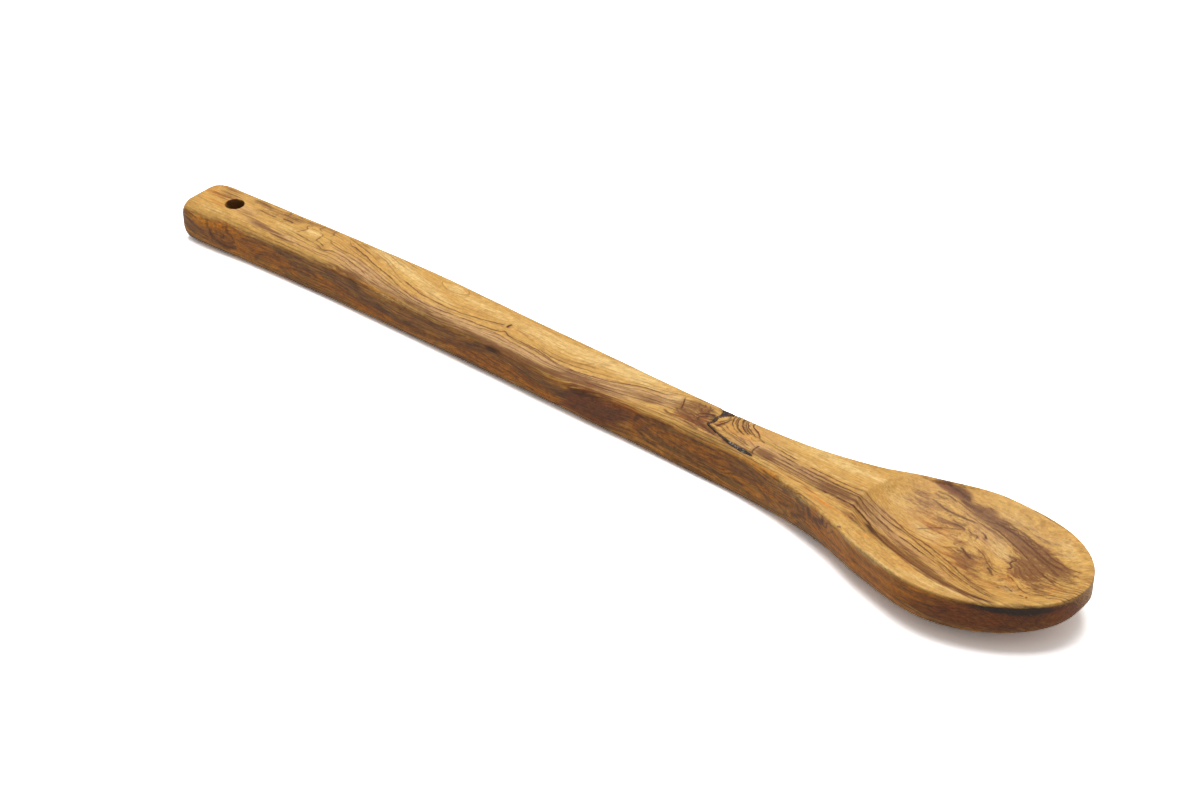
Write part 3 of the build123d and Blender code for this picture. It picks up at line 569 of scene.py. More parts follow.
class StageLook(bpy.types.PropertyGroup):
    """Floor, lights and camera."""

    floor: display_colour("Floor", "What the floor throws back on the spoon", 140, 138, 136)
    floor_gain: bpy.props.FloatProperty(
        name="Floor gain", description="How far the floor is overexposed in the picture",
        default=2.6, min=0)
    floor_reach: length("Floor reach", "From the middle of the floor to its sides", 3000)
    sky: bpy.props.FloatProperty(
        name="Sky", description="Strength of the even light from all round", default=0.33, min=0)
    lamp: bpy.props.FloatProperty(
        name="Lamp", description="Strength of the overhead soft box", default=5.9, min=0)
    lamp_size: length("Soft box", "Side of the soft box", 700)
    lamp_height: length("Lamp height", "Height of the soft box over the floor", 900)
    lamp_shift: length("Lamp shift", "How far the soft box stands to the left and to the back", 60)
    distance: length("Camera distance", "From the camera to its aim", 687.0)
    aim: bpy.props.FloatVectorProperty(
        name="Aim", description="Point in the middle of the picture", subtype="TRANSLATION",
        default=(5.086 * MM, -1.453 * MM, 7.0 * MM), precision=5)
    elevation: bpy.props.FloatProperty(
        name="Elevation", description="Camera above the horizon", default=math.radians(34.8),
        subtype="ANGLE")
    turn: bpy.props.FloatProperty(
        name="Turn", description="How far the camera is turned round the spoon",
        default=math.radians(39.635), subtype="ANGLE")
    lens: bpy.props.FloatProperty(
        name="Lens", description="Focal length on a 36 mm sensor", default=78.0, subtype="DISTANCE_CAMERA")


def in_millimetres(group):
    """The lengths of a property group, in millimetres."""
    return SimpleNamespace(**{name: getattr(group, name) / MM for name in group.__annotations__})


def smooth(t):
    """0 up to 0 and 1 from 1, with the S curve t * t * (3 - 2 t) between them."""
    t = np.clip(t, 0, 1)
    return t * t * (3 - 2 * t)


def ramp(value, start, end):
    """0 at start and 1 at end, with the S curve between them; start may be the higher one."""
    return smooth((value - start) / (end - start))


def through(place, places, values):
    """Cubic Hermite curve through values at places, level at both ends."""
    place = np.clip(place, places[0], places[-1])
    i = np.clip(np.searchsorted(places, place, side="right") - 1, 0, len(places) - 2)
    gap = places[i + 1] - places[i]
    t = (place - places[i]) / gap
    slopes = np.zeros(len(values))
    slopes[1:-1] = (values[2:] - values[:-2]) / (places[2:] - places[:-2])
    return (
        values[i] * (1 - t) ** 2 * (1 + 2 * t)
        + slopes[i] * gap * t * (1 - t) ** 2
        + values[i + 1] * t ** 2 * (3 - 2 * t)
        - slopes[i + 1] * gap * t ** 2 * (1 - t)
    )


def soft_min(a, b, radius):
    """The lower of two heights, rounded over a radius where they meet."""
    near = np.maximum(radius - np.abs(a - b), 0) / radius
    return np.minimum(a, b) - near * near * radius / 4


def noise(x, y, z, seed):
    """Smooth noise from -1 to 1: random values on a unit lattice, joined by S curves."""
    side = 32
    lattice = np.random.default_rng(seed).uniform(-1, 1, (side, side, side))
    cells = [np.floor(v).astype(int) for v in (x, y, z)]
    parts = [smooth(v - cell) for v, cell in zip((x, y, z), cells)]
    total = 0
    for ends in np.ndindex(2, 2, 2):
        index = tuple((cell + step) % side for cell, step in zip(cells, ends))
        share = 1
        for part, step in zip(parts, ends):
            share = share * (part if step else 1 - part)
        total = total + lattice[index] * share
    return total


class Form:
    """The carved spoon as functions of the place along it, the same ones as the construction's."""

    def __init__(self, size):
        self.size = size
        self.widest = size.spoon_length - size.bowl_reach
        self.ridge = self.widest - size.hollow_neck_length

    def station(self, x, column):
        """A column of the stations' table at places along the spoon."""
        return through(x / self.widest, STATION_SHARES[:, 0], STATION_SHARES[:, column])

    def beyond(self, x):
        """0 up to the widest place, 1 at the tip."""
        return np.clip((x - self.widest) / self.size.bowl_reach, 0, 1)

    def end_round(self, x, over):
        """1 at the handle's end face, falling to 0 in a quarter ellipse."""
        return 1 - np.sqrt(1 - np.clip(1 - x / over, 0, 1) ** 2)

    def centre(self, x):
        """Side step of the centre line."""
        return self.size.plank_sway * self.station(x, 2) * (1 - smooth(self.beyond(x)))

    def top(self, x):
        """Height of the flat upper face, before the handle's end is rounded."""
        s = self.size
        rise = self.station(x, 3) + (1 - STATION_SHARES[-1, 3]) * self.beyond(x)
        return s.handle_thickness + (s.bowl_thickness - s.handle_thickness) * rise

    def half_width(self, x):
        """Half the plan's width: the stations', then half an ellipse to the tip."""
        s = self.size
        width = s.handle_width + (s.bowl_width - s.handle_width) * self.station(x, 1)
        return width / 2 * np.sqrt(1 - self.beyond(x) ** 2)

    def hollow(self, x, y):
        """Height of the gouged surface: a parabola across whose depth falls off along the bowl."""
        s = self.size
        reach = s.bowl_reach - s.rim_width
        neck = ((self.widest - x) / s.hollow_neck_length) ** 4
        tip = ((x - self.widest) / reach) ** 2
        depth = s.hollow_depth * (1 - np.where(x < self.widest, neck, tip))
        far = s.bowl_width / 2 - s.rim_width
        near_start = far - s.near_rim_width
        share = (x - self.ridge) / (s.hollow_neck_length + reach)
        near = near_start + (far - near_start) * through(share, HOLLOW_PLACE_SHARES, HOLLOW_NEAR_SHARES)
        off = y - self.centre(x)
        return self.top(x) - depth + s.hollow_depth * (off / np.where(off > 0, far, near)) ** 2

    def upper(self, x, y):
        """Height of the upper surface: the flat face and the hollow, with a worn edge between them."""
        return soft_min(self.top(x), self.hollow(x, y), self.size.worn_edge)

    def face_height(self, x, y):
        """Height of the upper face and its rounded edges, from the sections at x."""
        columns = np.r_[-FAR_POINTS:0, 0:TOP_POINTS + NEAR_POINTS + 1]
        found = np.empty(x.size)
        across, up = self.section(x.ravel())
        for i, place in enumerate(y.ravel()):
            found[i] = np.interp(-place, -across[i, columns], up[i, columns])
        return found.reshape(x.shape)

    def rows(self):
        """Places of the sections, closer at the rounded end, at the hollow's ridge and at the tip."""
        s = self.size
        turn = np.radians(np.arange(90, 0, -7.5))
        end = s.end_edge_length * (1 - np.sin(turn))
        before, after = self.ridge - 2, self.ridge + 11
        close_step = s.row_step * 0.6
        plank = np.arange(s.end_edge_length, before, s.row_step)
        ridge = np.arange(before, after, close_step)
        bowl = np.arange(after, self.widest, s.row_step)
        tip_turn = np.radians(np.arange(0, 87.1, 0.9))
        tip = self.widest + s.bowl_reach * np.sin(tip_turn)
        return np.concatenate([end, plank, ridge, bowl, tip])

    def corners(self, x):
        """The section's frame at x: its middle, half width, top and bottom, and how far its rounded
        corners run along the level faces and rise along the walls."""
        s = self.size
        bowl = ramp(x / self.widest, BOWL_START_SHARE, BOWL_FULL_SHARE)
        end = self.end_round(x, s.end_edge_length)
        far_cut = s.end_far_cut * self.end_round(x, s.end_far_length)
        near_cut = s.end_near_cut * end
        half = self.half_width(x) - (far_cut + near_cut) / 2
        middle = self.centre(x) - (far_cut - near_cut) / 2
        top = self.top(x) - s.end_edge_radius * end
        climb = 1 - np.sqrt(1 - self.beyond(x) ** 2)
        bottom = s.belly_lift * climb + s.end_edge_radius * end

        limit = half * CORNER_SHARE
        upper_limit = np.minimum(limit, (top - bottom) * UPPER_CORNER_SHARE)
        far = s.far_edge_radius * (1 - bowl) + s.rim_edge_radius * bowl
        far = np.minimum(far, upper_limit)
        near = s.near_edge_radius * self.station(x, 4) * (1 - bowl) + s.rim_edge_radius * bowl
        near = np.minimum(near, upper_limit)
        wall = s.rim_wall + (s.tip_wall - s.rim_wall) * self.beyond(x) ** 2
        sole_edge = s.sole_edge_radius * self.station(x, 5)
        rise = sole_edge * (1 - bowl) + (top - wall - bottom) * bowl
        rise = np.maximum(rise, s.sole_edge_radius / 4)
        rise = np.minimum(rise, (top - bottom - np.maximum(near, far)) * CORNER_SHARE)
        run = np.minimum(sole_edge * (1 - bowl) + BELLY_SHARE * half * bowl, limit)
        return middle, half, top, bottom, far, near, run, rise

    def section(self, x):
        """Points round the sections at x, as arrays of rows by columns: flat top or hollow, near
        upper corner, near wall, near lower corner, sole, and back up the far side."""
        x = x[:, None]
        middle, half, top, bottom, far, near, run, rise = self.corners(x)
        left, right = middle + half, middle - half
        blocks = [
            straight((left - far, top), (right + near, top), TOP_POINTS, crowd=0.45),
            round_corner(right, top, -1, near, near, NEAR_POINTS, upwards=False),
            straight((right, top - near), (right, bottom + rise), WALL_POINTS),
            round_corner(right, bottom, -1, run, -rise, SOLE_EDGE_POINTS, upwards=True),
            straight((right + run, bottom), (left - run, bottom), SOLE_POINTS),
            round_corner(left, bottom, 1, run, -rise, SOLE_EDGE_POINTS, upwards=False),
            straight((left, bottom + rise), (left, top - far), FAR_WALL_POINTS),
            round_corner(left, top, 1, far, far, FAR_POINTS, upwards=True),
        ]
        shapes = [(len(x), block[0].shape[1]) for block in blocks]
        y = np.concatenate([np.broadcast_to(b[0], shape) for b, shape in zip(blocks, shapes)], 1)
        z = np.concatenate([np.broadcast_to(b[1], shape) for b, shape in zip(blocks, shapes)], 1)
        on_top = np.arange(y.shape[1]) <= TOP_POINTS
        hollowed = soft_min(z, self.hollow(x, y), self.size.worn_edge)
        return y, np.where(on_top, hollowed, z)


def straight(start, end, count, crowd=0.0):
    """Points from start to end without the last, crowded towards both by a share."""
    t = np.arange(count) / count
    t = t * (1 - crowd) + crowd * (1 - np.cos(np.pi * t)) / 2
    return [a + (b - a) * t for a, b in zip(start, end)]


def round_corner(y, z, side, run, rise, count, upwards):
    """A cubic curve that turns a quarter between wall and level face, without its last point."""
    t = np.arange(count) / count
    t = t if upwards else 1 - t
    start, before, after, end = (1 - t) ** 3, 3 * t * (1 - t) ** 2, 3 * t * t * (1 - t), t ** 3
    out = y - side * run * (after * (1 - QUARTER_SHARE) + end)
    return out + 0 * rise, z - rise * (start + before * (1 - QUARTER_SHARE))


def from_surface(form, x, y, z):
    """Place across the grain: y on the upper face, going on down the sides, and the depth."""
    half, centre = form.half_width(x), form.centre(x)
    inside = np.clip(y, centre - half, centre + half)
    depth = np.maximum(form.upper(x, inside) - z, 0)
    return inside - depth, depth


def growth(x, across):
    """Number of the growth line at a place, counted between the guide lines, and the gap between
    two growth lines there in millimetres."""
    table = np.array(GUIDE_PLACES, float)
    lifted = across.copy()
    for along, over, reach_along, reach_across, lift in KNOT_LIFTS:
        away = ((x - along) / reach_along) ** 2 + ((across - over) / reach_across) ** 2
        lifted -= lift * np.exp(-away)
    guides = [through(x, table[:, 0], table[:, i]) for i in range(1, table.shape[1])]
    count = np.full(x.shape, float(GUIDE_LINES[0]))
    gap = np.ones(x.shape)
    for low, high, from_line, to_line in zip(guides[:-1], guides[1:], GUIDE_LINES[:-1], GUIDE_LINES[1:]):
        share = np.clip((lifted - low) / (high - low), 0, 1)
        count += (to_line - from_line) * share
        gap = np.where((lifted >= low) & (lifted < high), (high - low) / (from_line - to_line), gap)
    return count, gap


def ellipses(table, x, across, wander):
    """Sum of soft ellipses that are flat inside and fall off at their edges."""
    total = np.zeros(x.shape)
    for along, over, half_length, half_width, turn, strength in table:
        c, s = math.cos(math.radians(turn)), math.sin(math.radians(turn))
        dx, dy = x - along + wander[0], across - over + wander[1]
        away = ((dx * c + dy * s) / half_length) ** 2 + ((dy * c - dx * s) / half_width) ** 2
        total += strength * np.exp(-away ** 1.5)
    return total


def off_line(x, y, points):
    """Signed distance from the broken line through the points, and the share of it passed, which
    goes on below 0 and above 1 past its ends."""
    points = np.asarray(points, float)
    best = np.full(x.shape, 1e9)
    share = np.zeros(x.shape)
    for i, ((x0, y0), (x1, y1)) in enumerate(zip(points[:-1], points[1:])):
        dx, dy = x1 - x0, y1 - y0
        t = ((x - x0) * dx + (y - y0) * dy) / (dx * dx + dy * dy)
        held = np.clip(t, 0, 1)
        away = np.hypot(x - x0 - held * dx, y - y0 - held * dy)
        side = np.sign((x - x0) * dy - (y - y0) * dx)
        passed = i + t if i in (0, len(points) - 2) else i + held
        nearer = away < np.abs(best)
        share = np.where(nearer, passed, share)
        best = np.where(nearer, away * np.where(side == 0, 1, side), best)
    return best, share / (len(points) - 1)


def rounded(points, pieces):
    """Points on the Catmull-Rom curve through the given ones, in equal pieces of each stretch."""
    p = np.asarray(points, float)
    p = np.concatenate([2 * p[:1] - p[1:2], p, 2 * p[-1:] - p[-2:-1]])
    t = (np.arange(pieces) / pieces)[:, None]
    made = []
    for a, b, c, d in zip(p[:-3], p[1:-2], p[2:-1], p[3:]):
        made.append(b + (c - a) / 2 * t + (a - 2.5 * b + 2 * c - d / 2) * t ** 2
                    + (1.5 * b - a / 2 - 1.5 * c + d / 2) * t ** 3)
    return np.concatenate(made + [p[-2:-1]])


def room(curve, others):
    """Least distance between a curve's points and those of the others."""
    gaps = [np.hypot(*(curve[:, None] - other[None]).transpose(2, 0, 1)).min() for other in others]
    return min(gaps, default=99)


def dealt(table, sheets):
    """Deals a table's lines to sheets: each goes to the first where it keeps apart from the rest,
    or else to the roomiest."""
    apart = 1.7
    layers = [[] for _ in range(sheets)]
    for width, strength, *points in table:
        curve = rounded(points, 3)
        spaces = [room(curve, [other[2] for other in layer]) for layer in layers]
        free = [i for i, space in enumerate(spaces) if space > apart]
        chosen = free[0] if free else int(np.argmax(spaces))
        layers[chosen].append((width, strength, curve))
    return layers


def drawn_lines(table, x, across, sheets):
    """For each sheet of dark lines the signed distance to its nearest line, and that line's
    strength and half width. The strength fades at the line's ends and away from it."""
    blend = 1.4
    result = []
    for layer in dealt(table, sheets):
        off, strong, wide = np.full(x.shape, 9.0), np.zeros(x.shape), np.full(x.shape, 0.2)
        for width, strength, points in layer:
            low, high = points.min(0) - blend, points.max(0) + blend
            close = (x > low[0]) & (x < high[0]) & (across > low[1]) & (across < high[1])
            if not close.any():
                continue
            away, share = off_line(x[close], across[close], points)
            seen = ramp(share, 0, 0.08) * ramp(share, 1, 0.92)
            seen = seen * ramp(np.abs(away), blend, blend - 0.5)
            nearer = np.abs(away) < np.abs(off[close])
            off[close] = np.where(nearer, away, off[close])
            strong[close] = np.where(nearer, strength * seen, strong[close])
            wide[close] = np.where(nearer, width, wide[close])
        result.append(np.stack([off, strong, wide], 1))
    return result


def bark_seam_line(form):
    """The bark's centre line on the upper face as the scene shows it, with its widths."""
    s = form.size
    start = form.ridge - s.bark_ridge_gap - s.bark_length
    far_edge = form.half_width(start) + form.centre(start) - s.bark_far_inset
    points = np.stack([
        start + BARK_SEAM_SHARES[:, 0] * s.bark_length,
        far_edge - BARK_SEAM_SHARES[:, 1] * s.bark_reach,
        BARK_SEAM_SHARES[:, 2] * s.bark_width,
    ], 1)
    line = rounded(points, 10)
    return line[:, :2], np.maximum(line[:, 2], 0.05)


def closed_grid(rings, first, last):
    """Vertices and faces of rings of points, closed round, with a fan at each end."""
    count, columns = rings.shape[:2]
    vertices = np.concatenate([rings.reshape(-1, 3), [first, last]])
    i, j = np.meshgrid(np.arange(count - 1), np.arange(columns), indexing="ij")
    k = (j + 1) % columns
    quads = np.stack([i * columns + j, i * columns + k, (i + 1) * columns + k, (i + 1) * columns + j], -1)
    j = np.arange(columns)
    k = (j + 1) % columns
    start = np.stack([np.full(columns, count * columns), k, j], -1)
    base = (count - 1) * columns
    end = np.stack([np.full(columns, count * columns + 1), base + j, base + k], -1)
    return vertices, quads.reshape(-1, 4).tolist() + start.tolist() + end.tolist()


def outward(rings):
    """Unit normals of a grid of rings, from its two directions."""
    along = np.gradient(rings, axis=0)
    padded = np.concatenate([rings[:, -1:], rings, rings[:, :1]], 1)
    around = (padded[:, 2:] - padded[:, :-2]) / 2
    normal = np.cross(around, along)
    return normal / np.maximum(np.linalg.norm(normal, axis=2, keepdims=True), 1e-9)


def to_packed_frame(form, points):
    """Moves points from the handle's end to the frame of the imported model, in metres, and gives
    the step between the two."""
    low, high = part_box("spoon_body")
    x = np.linspace(0, form.size.spoon_length, 3001)
    y_low = (form.centre(x) - form.half_width(x)).min()
    y_high = (form.centre(x) + form.half_width(x)).max()
    shift = np.array([low.x, (low.y + high.y) / 2 - (y_low + y_high) / 2 * MM, low.z])
    return points * MM + shift, shift


def make_object(name, vertices, faces):
    """A smooth-shaded mesh object in the scene."""
    mesh = bpy.data.meshes.new(name)
    mesh.from_pydata(vertices, [], faces)
    mesh.shade_smooth()
    mesh.update()
    made = bpy.data.objects.new(name, mesh)
    bpy.context.scene.collection.objects.link(made)
    return made


def carved_step(form, x, y, z):
    """How far the surface steps off the plain form: the waves of hand sanding, less a round dip
    for each nick and the groove of the bark. The flat sole is only dipped, and less deep."""
    s = form.size
    long_waves = noise(x / 11, y / 7, z / 7, 3)
    short_waves = noise(x / 3.5, y / 2.6, z / 2.6, 4)
    step = s.hand_waver * long_waves + s.hand_waver * 0.35 * short_waves
    for along, over, up, radius, depth in NICKS:
        away = ((x - along) ** 2 + (y - over) ** 2 + (z - up) ** 2) / radius ** 2
        step = step - depth * np.exp(-away)
    line, widths = bark_seam_line(form)
    away, share = off_line(x, y, line)
    width = np.interp(share * (len(widths) - 1), np.arange(len(widths)), widths)
    above = ramp(z - form.top(x), -4.0, -2.5)
    rim = width / 2 + 0.35
    step = step - s.bark_groove * above * smooth((rim - np.abs(away)) / 0.4)
    sole = (z < 0.5) & (x > 8) & (x < form.widest)
    return np.where(sole, np.minimum(step, 0) * 0.3, step)


def spoon_rings(form):
    """The closed outside of the spoon: its sections, with rings that shrink to a point on both
    end faces, each point moved along its normal by the carved step."""
    x = form.rows()
    y, z = form.section(x)
    rings = np.stack([np.broadcast_to(x[:, None], y.shape), y, z], -1)
    shrink = np.array([0.10, 0.28, 0.46, 0.64, 0.80, 0.92])
    caps = []
    for ring, inwards in ((rings[0], 1), (rings[-1], -1)):
        middle = ring.mean(0)
        caps.append(np.stack([middle + (ring - middle) * share for share in shrink[::inwards]]))
    rings = np.concatenate([caps[0], rings, caps[1]])
    return rings + outward(rings) * carved_step(form, *np.moveaxis(rings, -1, 0))[..., None]


def hole_cutter(form):
    """The hanging hole's worn bore: rings up a round hole, whose radius grows with the square of
    the nearness to a mouth and wanders round the bore by noise."""
    s = form.size
    top = form.top(np.array(s.hole_inset))
    middle = form.centre(np.array(s.hole_inset))
    mouth = s.hole_mouth
    z = np.concatenate([
        [-mouth],
        np.linspace(0, mouth, 7),
        np.linspace(1.5 * mouth, top - 1.5 * mouth, 12),
        np.linspace(top - mouth, top, 7),
        [top + mouth],
    ])
    flare = np.maximum(1 - np.minimum(z, top - z) / mouth, 0)
    clear_of_wood = 1.9
    flare = np.where((z < 0) | (z > top), clear_of_wood, flare)
    turn = np.radians(np.arange(0, 360, 5))
    ahead, aside = np.cos(turn), np.sin(turn)
    wander = noise(ahead[None] * 1.6 + 5, aside[None] * 1.6 + 5, z[:, None] / 5 + 9, 8)
    radius = s.hole_diameter / 2 + s.hole_wear * flare[:, None] ** 2 + s.hole_waver * wander
    x = s.hole_inset + radius * ahead
    y = middle + radius * aside
    rings = np.stack([x, y, np.broadcast_to(z[:, None], x.shape)], -1)
    return closed_grid(rings, (s.hole_inset, middle, z[0]), (s.hole_inset, middle, z[-1]))


def bark_seam(form):
    """A lens-shaped profile carried along the bark's line: its rim wanders and its upper side is
    gnarled by noise, and it follows the wood's face a little under it. Gives the seam's vertices
    and faces, and how much painted glint each vertex gets."""
    s = form.size
    line, widths = bark_seam_line(form)
    x, y = line.T
    half = widths / 2 * (1 + 0.28 * noise(x / 1.1, y / 1.1, x * 0 + 2, 21))
    dx, dy = np.gradient(x), np.gradient(y)
    run = np.hypot(dx, dy)
    turn = np.radians(np.arange(0, 360, 10))
    out, up = np.cos(turn), np.sin(turn)
    px = x[:, None] - (dy / run)[:, None] * half[:, None] * out
    py = y[:, None] + (dx / run)[:, None] * half[:, None] * out
    gnarl = s.bark_gnarl * noise(px / 0.6, py / 0.6, px * 0 + 4, 22)
    under = form.face_height(px, py) - s.bark_sink
    pz = under + np.where(up > 0, s.bark_crown + gnarl, s.bark_root) * up
    rings = np.stack([px, py, pz], -1)
    share = np.arange(len(x)) / (len(x) - 1)
    # Painted glints: the bark's colour is speckled silvery grey towards the seam's far end.
    glint = np.repeat(ramp(share, 0.6, 0.85), len(turn))
    vertices, faces = closed_grid(rings, rings[0].mean(0), rings[-1].mean(0))
    return vertices, faces, np.concatenate([glint, [0, 1]])


def vertex_places(mesh, shift):
    """Places of a mesh's vertices in millimetres from the handle's end, as x, y and z."""
    place = np.empty(len(mesh.vertices) * 3)
    mesh.vertices.foreach_get("co", place)
    return ((place.reshape(-1, 3) - shift) / MM).T


def keep_on_vertices(mesh, name, values):
    """Keeps a number or a vector at each vertex, for the material to read."""
    kind, slot = ("FLOAT", "value") if values.ndim == 1 else ("FLOAT_VECTOR", "vector")
    kept = mesh.attributes.new(name, kind, "POINT")
    kept.data.foreach_set(slot, values.astype(np.float32).ravel())


def lie_of(form, x, y, z):
    """How each place of the wood lies: its place across the grain, how far it is down a side (0 on
    the upper face, 1 on the side), how much it is on the near and on the far side, and the slow
    and the quick noise that make borders wander. The border between upper face and side is crisp
    on the bowl, and the one between near and far side is wide round both ends."""
    across, depth = from_surface(form, x, y, z)
    middle = form.centre(x)
    slow = [noise(x / 9, across / 5, z / 40 + 3, seed) for seed in (11, 12)]
    quick = [noise(x / 2.6, across / 1.5, z / 20 + 3, seed) for seed in (13, 14)]
    crisp = ramp(x, 188, 228)
    sets_in = 1.3 - 0.7 * ramp(x, 45, 65) - 0.4 * crisp
    ragged = (0.8 - 0.5 * crisp) * slow[0] + 0.3 * quick[1]
    down = smooth((depth - sets_in + ragged) / (1.9 - 1.2 * crisp))
    round_end = 12 * ramp(x, 284, 297) + 8 * ramp(x, 5, 0)
    near = smooth((middle - y + (0.7 + 0.15 * slow[0]) * round_end) / (2 + round_end))
    far = smooth((y - middle) / (2 + round_end))
    return SimpleNamespace(
        x=x, y=y, z=z, across=across, down=down, near=near, far=far, slow=slow, quick=quick)


def wood_stains(lie):
    """Strength of each kind of stain: the tables' ellipses with borders that wander, brown wood on
    the far side and low down, and the tone of the sides, which is lighter by the bowl's neck."""
    wander = (1.4 * lie.slow[0] + 0.8 * lie.quick[0], 0.45 * lie.slow[1] + 0.35 * lie.quick[1])
    stains = {}
    for kind in STAIN_KINDS:
        upper = ellipses(TOP_STAINS.get(kind, ()), lie.x, lie.across, wander)
        side = ellipses(SIDE_STAINS.get(kind, ()), lie.x, lie.z, wander)
        stains[kind] = upper * (1 - lie.down) + side * lie.down * lie.near
    hidden = 0.35 + 0.5 * noise(lie.x / 30, lie.across / 4, lie.z * 0, 15)
    low = ramp(lie.z, 2.5, 0.5)
    stains["brown"] += hidden * lie.down * np.maximum(lie.far, low)
    golden = ramp(lie.x, 218, 238) * ramp(lie.x, 266, 252) * ramp(lie.z, 7, 11)
    stains["side"] = lie.down * (0.55 + 0.45 * lie.near) * (1 - 0.5 * golden)
    return stains


def growth_lines(lie, burl, clear):
    """The count of the growth lines, curled by noise, most of all in burl on the sides, how well
    they are seen, and the gap between two. Clear wood and close lines hide them."""
    count, gap = growth(lie.x, lie.across)
    count = count + 0.16 * lie.slow[0] + 0.07 * lie.quick[1]
    count = count + 1.3 * lie.down * noise(lie.x / 12, lie.z / 4, lie.y * 0, 16)
    count = count + np.clip(burl, 0, 1) * lie.down * noise(lie.x / 4.2, lie.z / 2.2, lie.y * 0, 17)
    hidden = 0.95 * np.clip(clear, 0, 1)
    seen = (1 - hidden) * (1 - 0.15 * lie.down) * ramp(gap, 0.5, 1.0)
    return np.stack([count, seen, gap], 1)


def paint_wood(mesh, form, shift):
    """Writes what the wood's material reads at each vertex, worked out from its place alone."""
    x, y, z = vertex_places(mesh, shift)
    lie = lie_of(form, x, y, z)
    stains = wood_stains(lie)
    lines = growth_lines(lie, stains["burl"], stains.pop("clear"))
    for kind, values in stains.items():
        keep_on_vertices(mesh, kind, np.clip(values, 0, 1.6))
    keep_on_vertices(mesh, "growth", lines)
    keep_on_vertices(mesh, "fibre", np.stack([x / 10, lines[:, 0], (z - y) / 3], 1))
    across = lie.across + 0.1 * lie.quick[0]
    along, up = x + 0.6 * lie.slow[1], z + 0.3 * (lie.quick[0] + lie.slow[0])
    upper = drawn_lines(TOP_LINES, x, across, len(TOP_SHEETS))
    side_table = SIDE_LINES + tuple((*FINE_LINE, *points) for points in FINE_SIDE_LINES)
    side = drawn_lines(side_table, along, up, len(SIDE_SHEETS))
    seen = [1 - lie.down] * len(upper) + [lie.down * lie.near] * len(side)
    for name, sheet, share in zip(TOP_SHEETS + SIDE_SHEETS, upper + side, seen):
        sheet[:, 1] *= share
        keep_on_vertices(mesh, name, sheet)


class Wiring:
    """Adds and links the nodes of one tree; a value may be a number, a colour or a socket."""

    def __init__(self, tree):
        self.tree = tree

    def node(self, kind, settings=None, **sockets):
        """A new node with its settings, and with its sockets fed by name."""
        made = self.tree.nodes.new(kind)
        for name, value in (settings or {}).items():
            setattr(made, name, value)
        for name, value in sockets.items():
            self.feed(made.inputs[name.replace("_", " ")], value)
        return made

    def feed(self, socket, value):
        """Links a socket into another one, or sets its number or colour."""
        if isinstance(value, bpy.types.NodeSocket):
            self.tree.links.new(value, socket)
        else:
            socket.default_value = value

    def math(self, operation, *values, clamp=False):
        """The result of an operation on numbers."""
        made = self.tree.nodes.new("ShaderNodeMath")
        made.operation = operation
        made.use_clamp = clamp
        for socket, value in zip(made.inputs, values):
            self.feed(socket, value)
        return made.outputs[0]

    def plus(self, a, b, clamp=False):
        """The sum a + b."""
        return self.math("ADD", a, b, clamp=clamp)

    def minus(self, a, b):
        """The difference a - b."""
        return self.math("SUBTRACT", a, b)

    def times(self, a, b, clamp=False):
        """The product a * b."""
        return self.math("MULTIPLY", a, b, clamp=clamp)

    def vector(self, operation, *values):
        """The result of an operation on vectors."""
        made = self.tree.nodes.new("ShaderNodeVectorMath")
        made.operation = operation
        for socket, value in zip(made.inputs, values):
            self.feed(socket, value)
        return made.outputs[0]

    def step(self, value, low, high):
        """0 below low and 1 above high, with an S between them."""
        made = self.node("ShaderNodeMapRange", {"interpolation_type": "SMOOTHSTEP"})
        for name, given in (("Value", value), ("From Min", low), ("From Max", high)):
            self.feed(made.inputs[name], given)
        return made.outputs["Result"]

    def noise(self, vector, scale, detail=2.0, roughness=0.5, distortion=0.0):
        """Noise from 0 to 1, with a mean of one half."""
        made = self.node("ShaderNodeTexNoise", Scale=scale, Detail=detail, Roughness=roughness,
                         Distortion=distortion)
        self.feed(made.inputs["Vector"], vector)
        return made.outputs["Fac"]

    def mix(self, share, a, b, blend="MIX"):
        """Colour a with a share of colour b laid over it."""
        made = self.tree.nodes.new("ShaderNodeMix")
        made.data_type = "RGBA"
        made.blend_type = blend
        self.feed(made.inputs[0], share)
        self.feed(made.inputs[6], a)
        self.feed(made.inputs[7], b)
        return made.outputs[2]

    def attribute(self, name, output="Fac"):
        """A number or a vector that is kept at the mesh's vertices."""
        return self.node("ShaderNodeAttribute", {"attribute_name": name}).outputs[output]

    def place(self):
        """The place in the model's frame, in metres."""
        return self.node("ShaderNodeTexCoord").outputs["Object"]

    def split(self, vector):
        """The three parts of a vector."""
        return self.node("ShaderNodeSeparateXYZ", Vector=vector).outputs

    def join(self, x, y, z):
        """A vector from its three parts."""
        return self.node("ShaderNodeCombineXYZ", X=x, Y=y, Z=z).outputs[0]


def new_group(name, inputs, outputs):
    """An empty shader node group that takes in vectors and gives out numbers, its wiring, and the
    sockets of both ends."""
    tree = bpy.data.node_groups.new(name, "ShaderNodeTree")
    for label in inputs:
        tree.interface.new_socket(name=label, in_out="INPUT", socket_type="NodeSocketVector")
    for label in outputs:
        tree.interface.new_socket(name=label, in_out="OUTPUT", socket_type="NodeSocketFloat")
    given = tree.nodes.new("NodeGroupInput").outputs
    out = tree.nodes.new("NodeGroupOutput").inputs
    return tree, Wiring(tree), given, out


def new_material(name):
    """A material, its wiring and its shader."""
    material = bpy.data.materials.new(name)
    material.use_nodes = True
    return material, Wiring(material.node_tree), material.node_tree.nodes["Principled BSDF"]


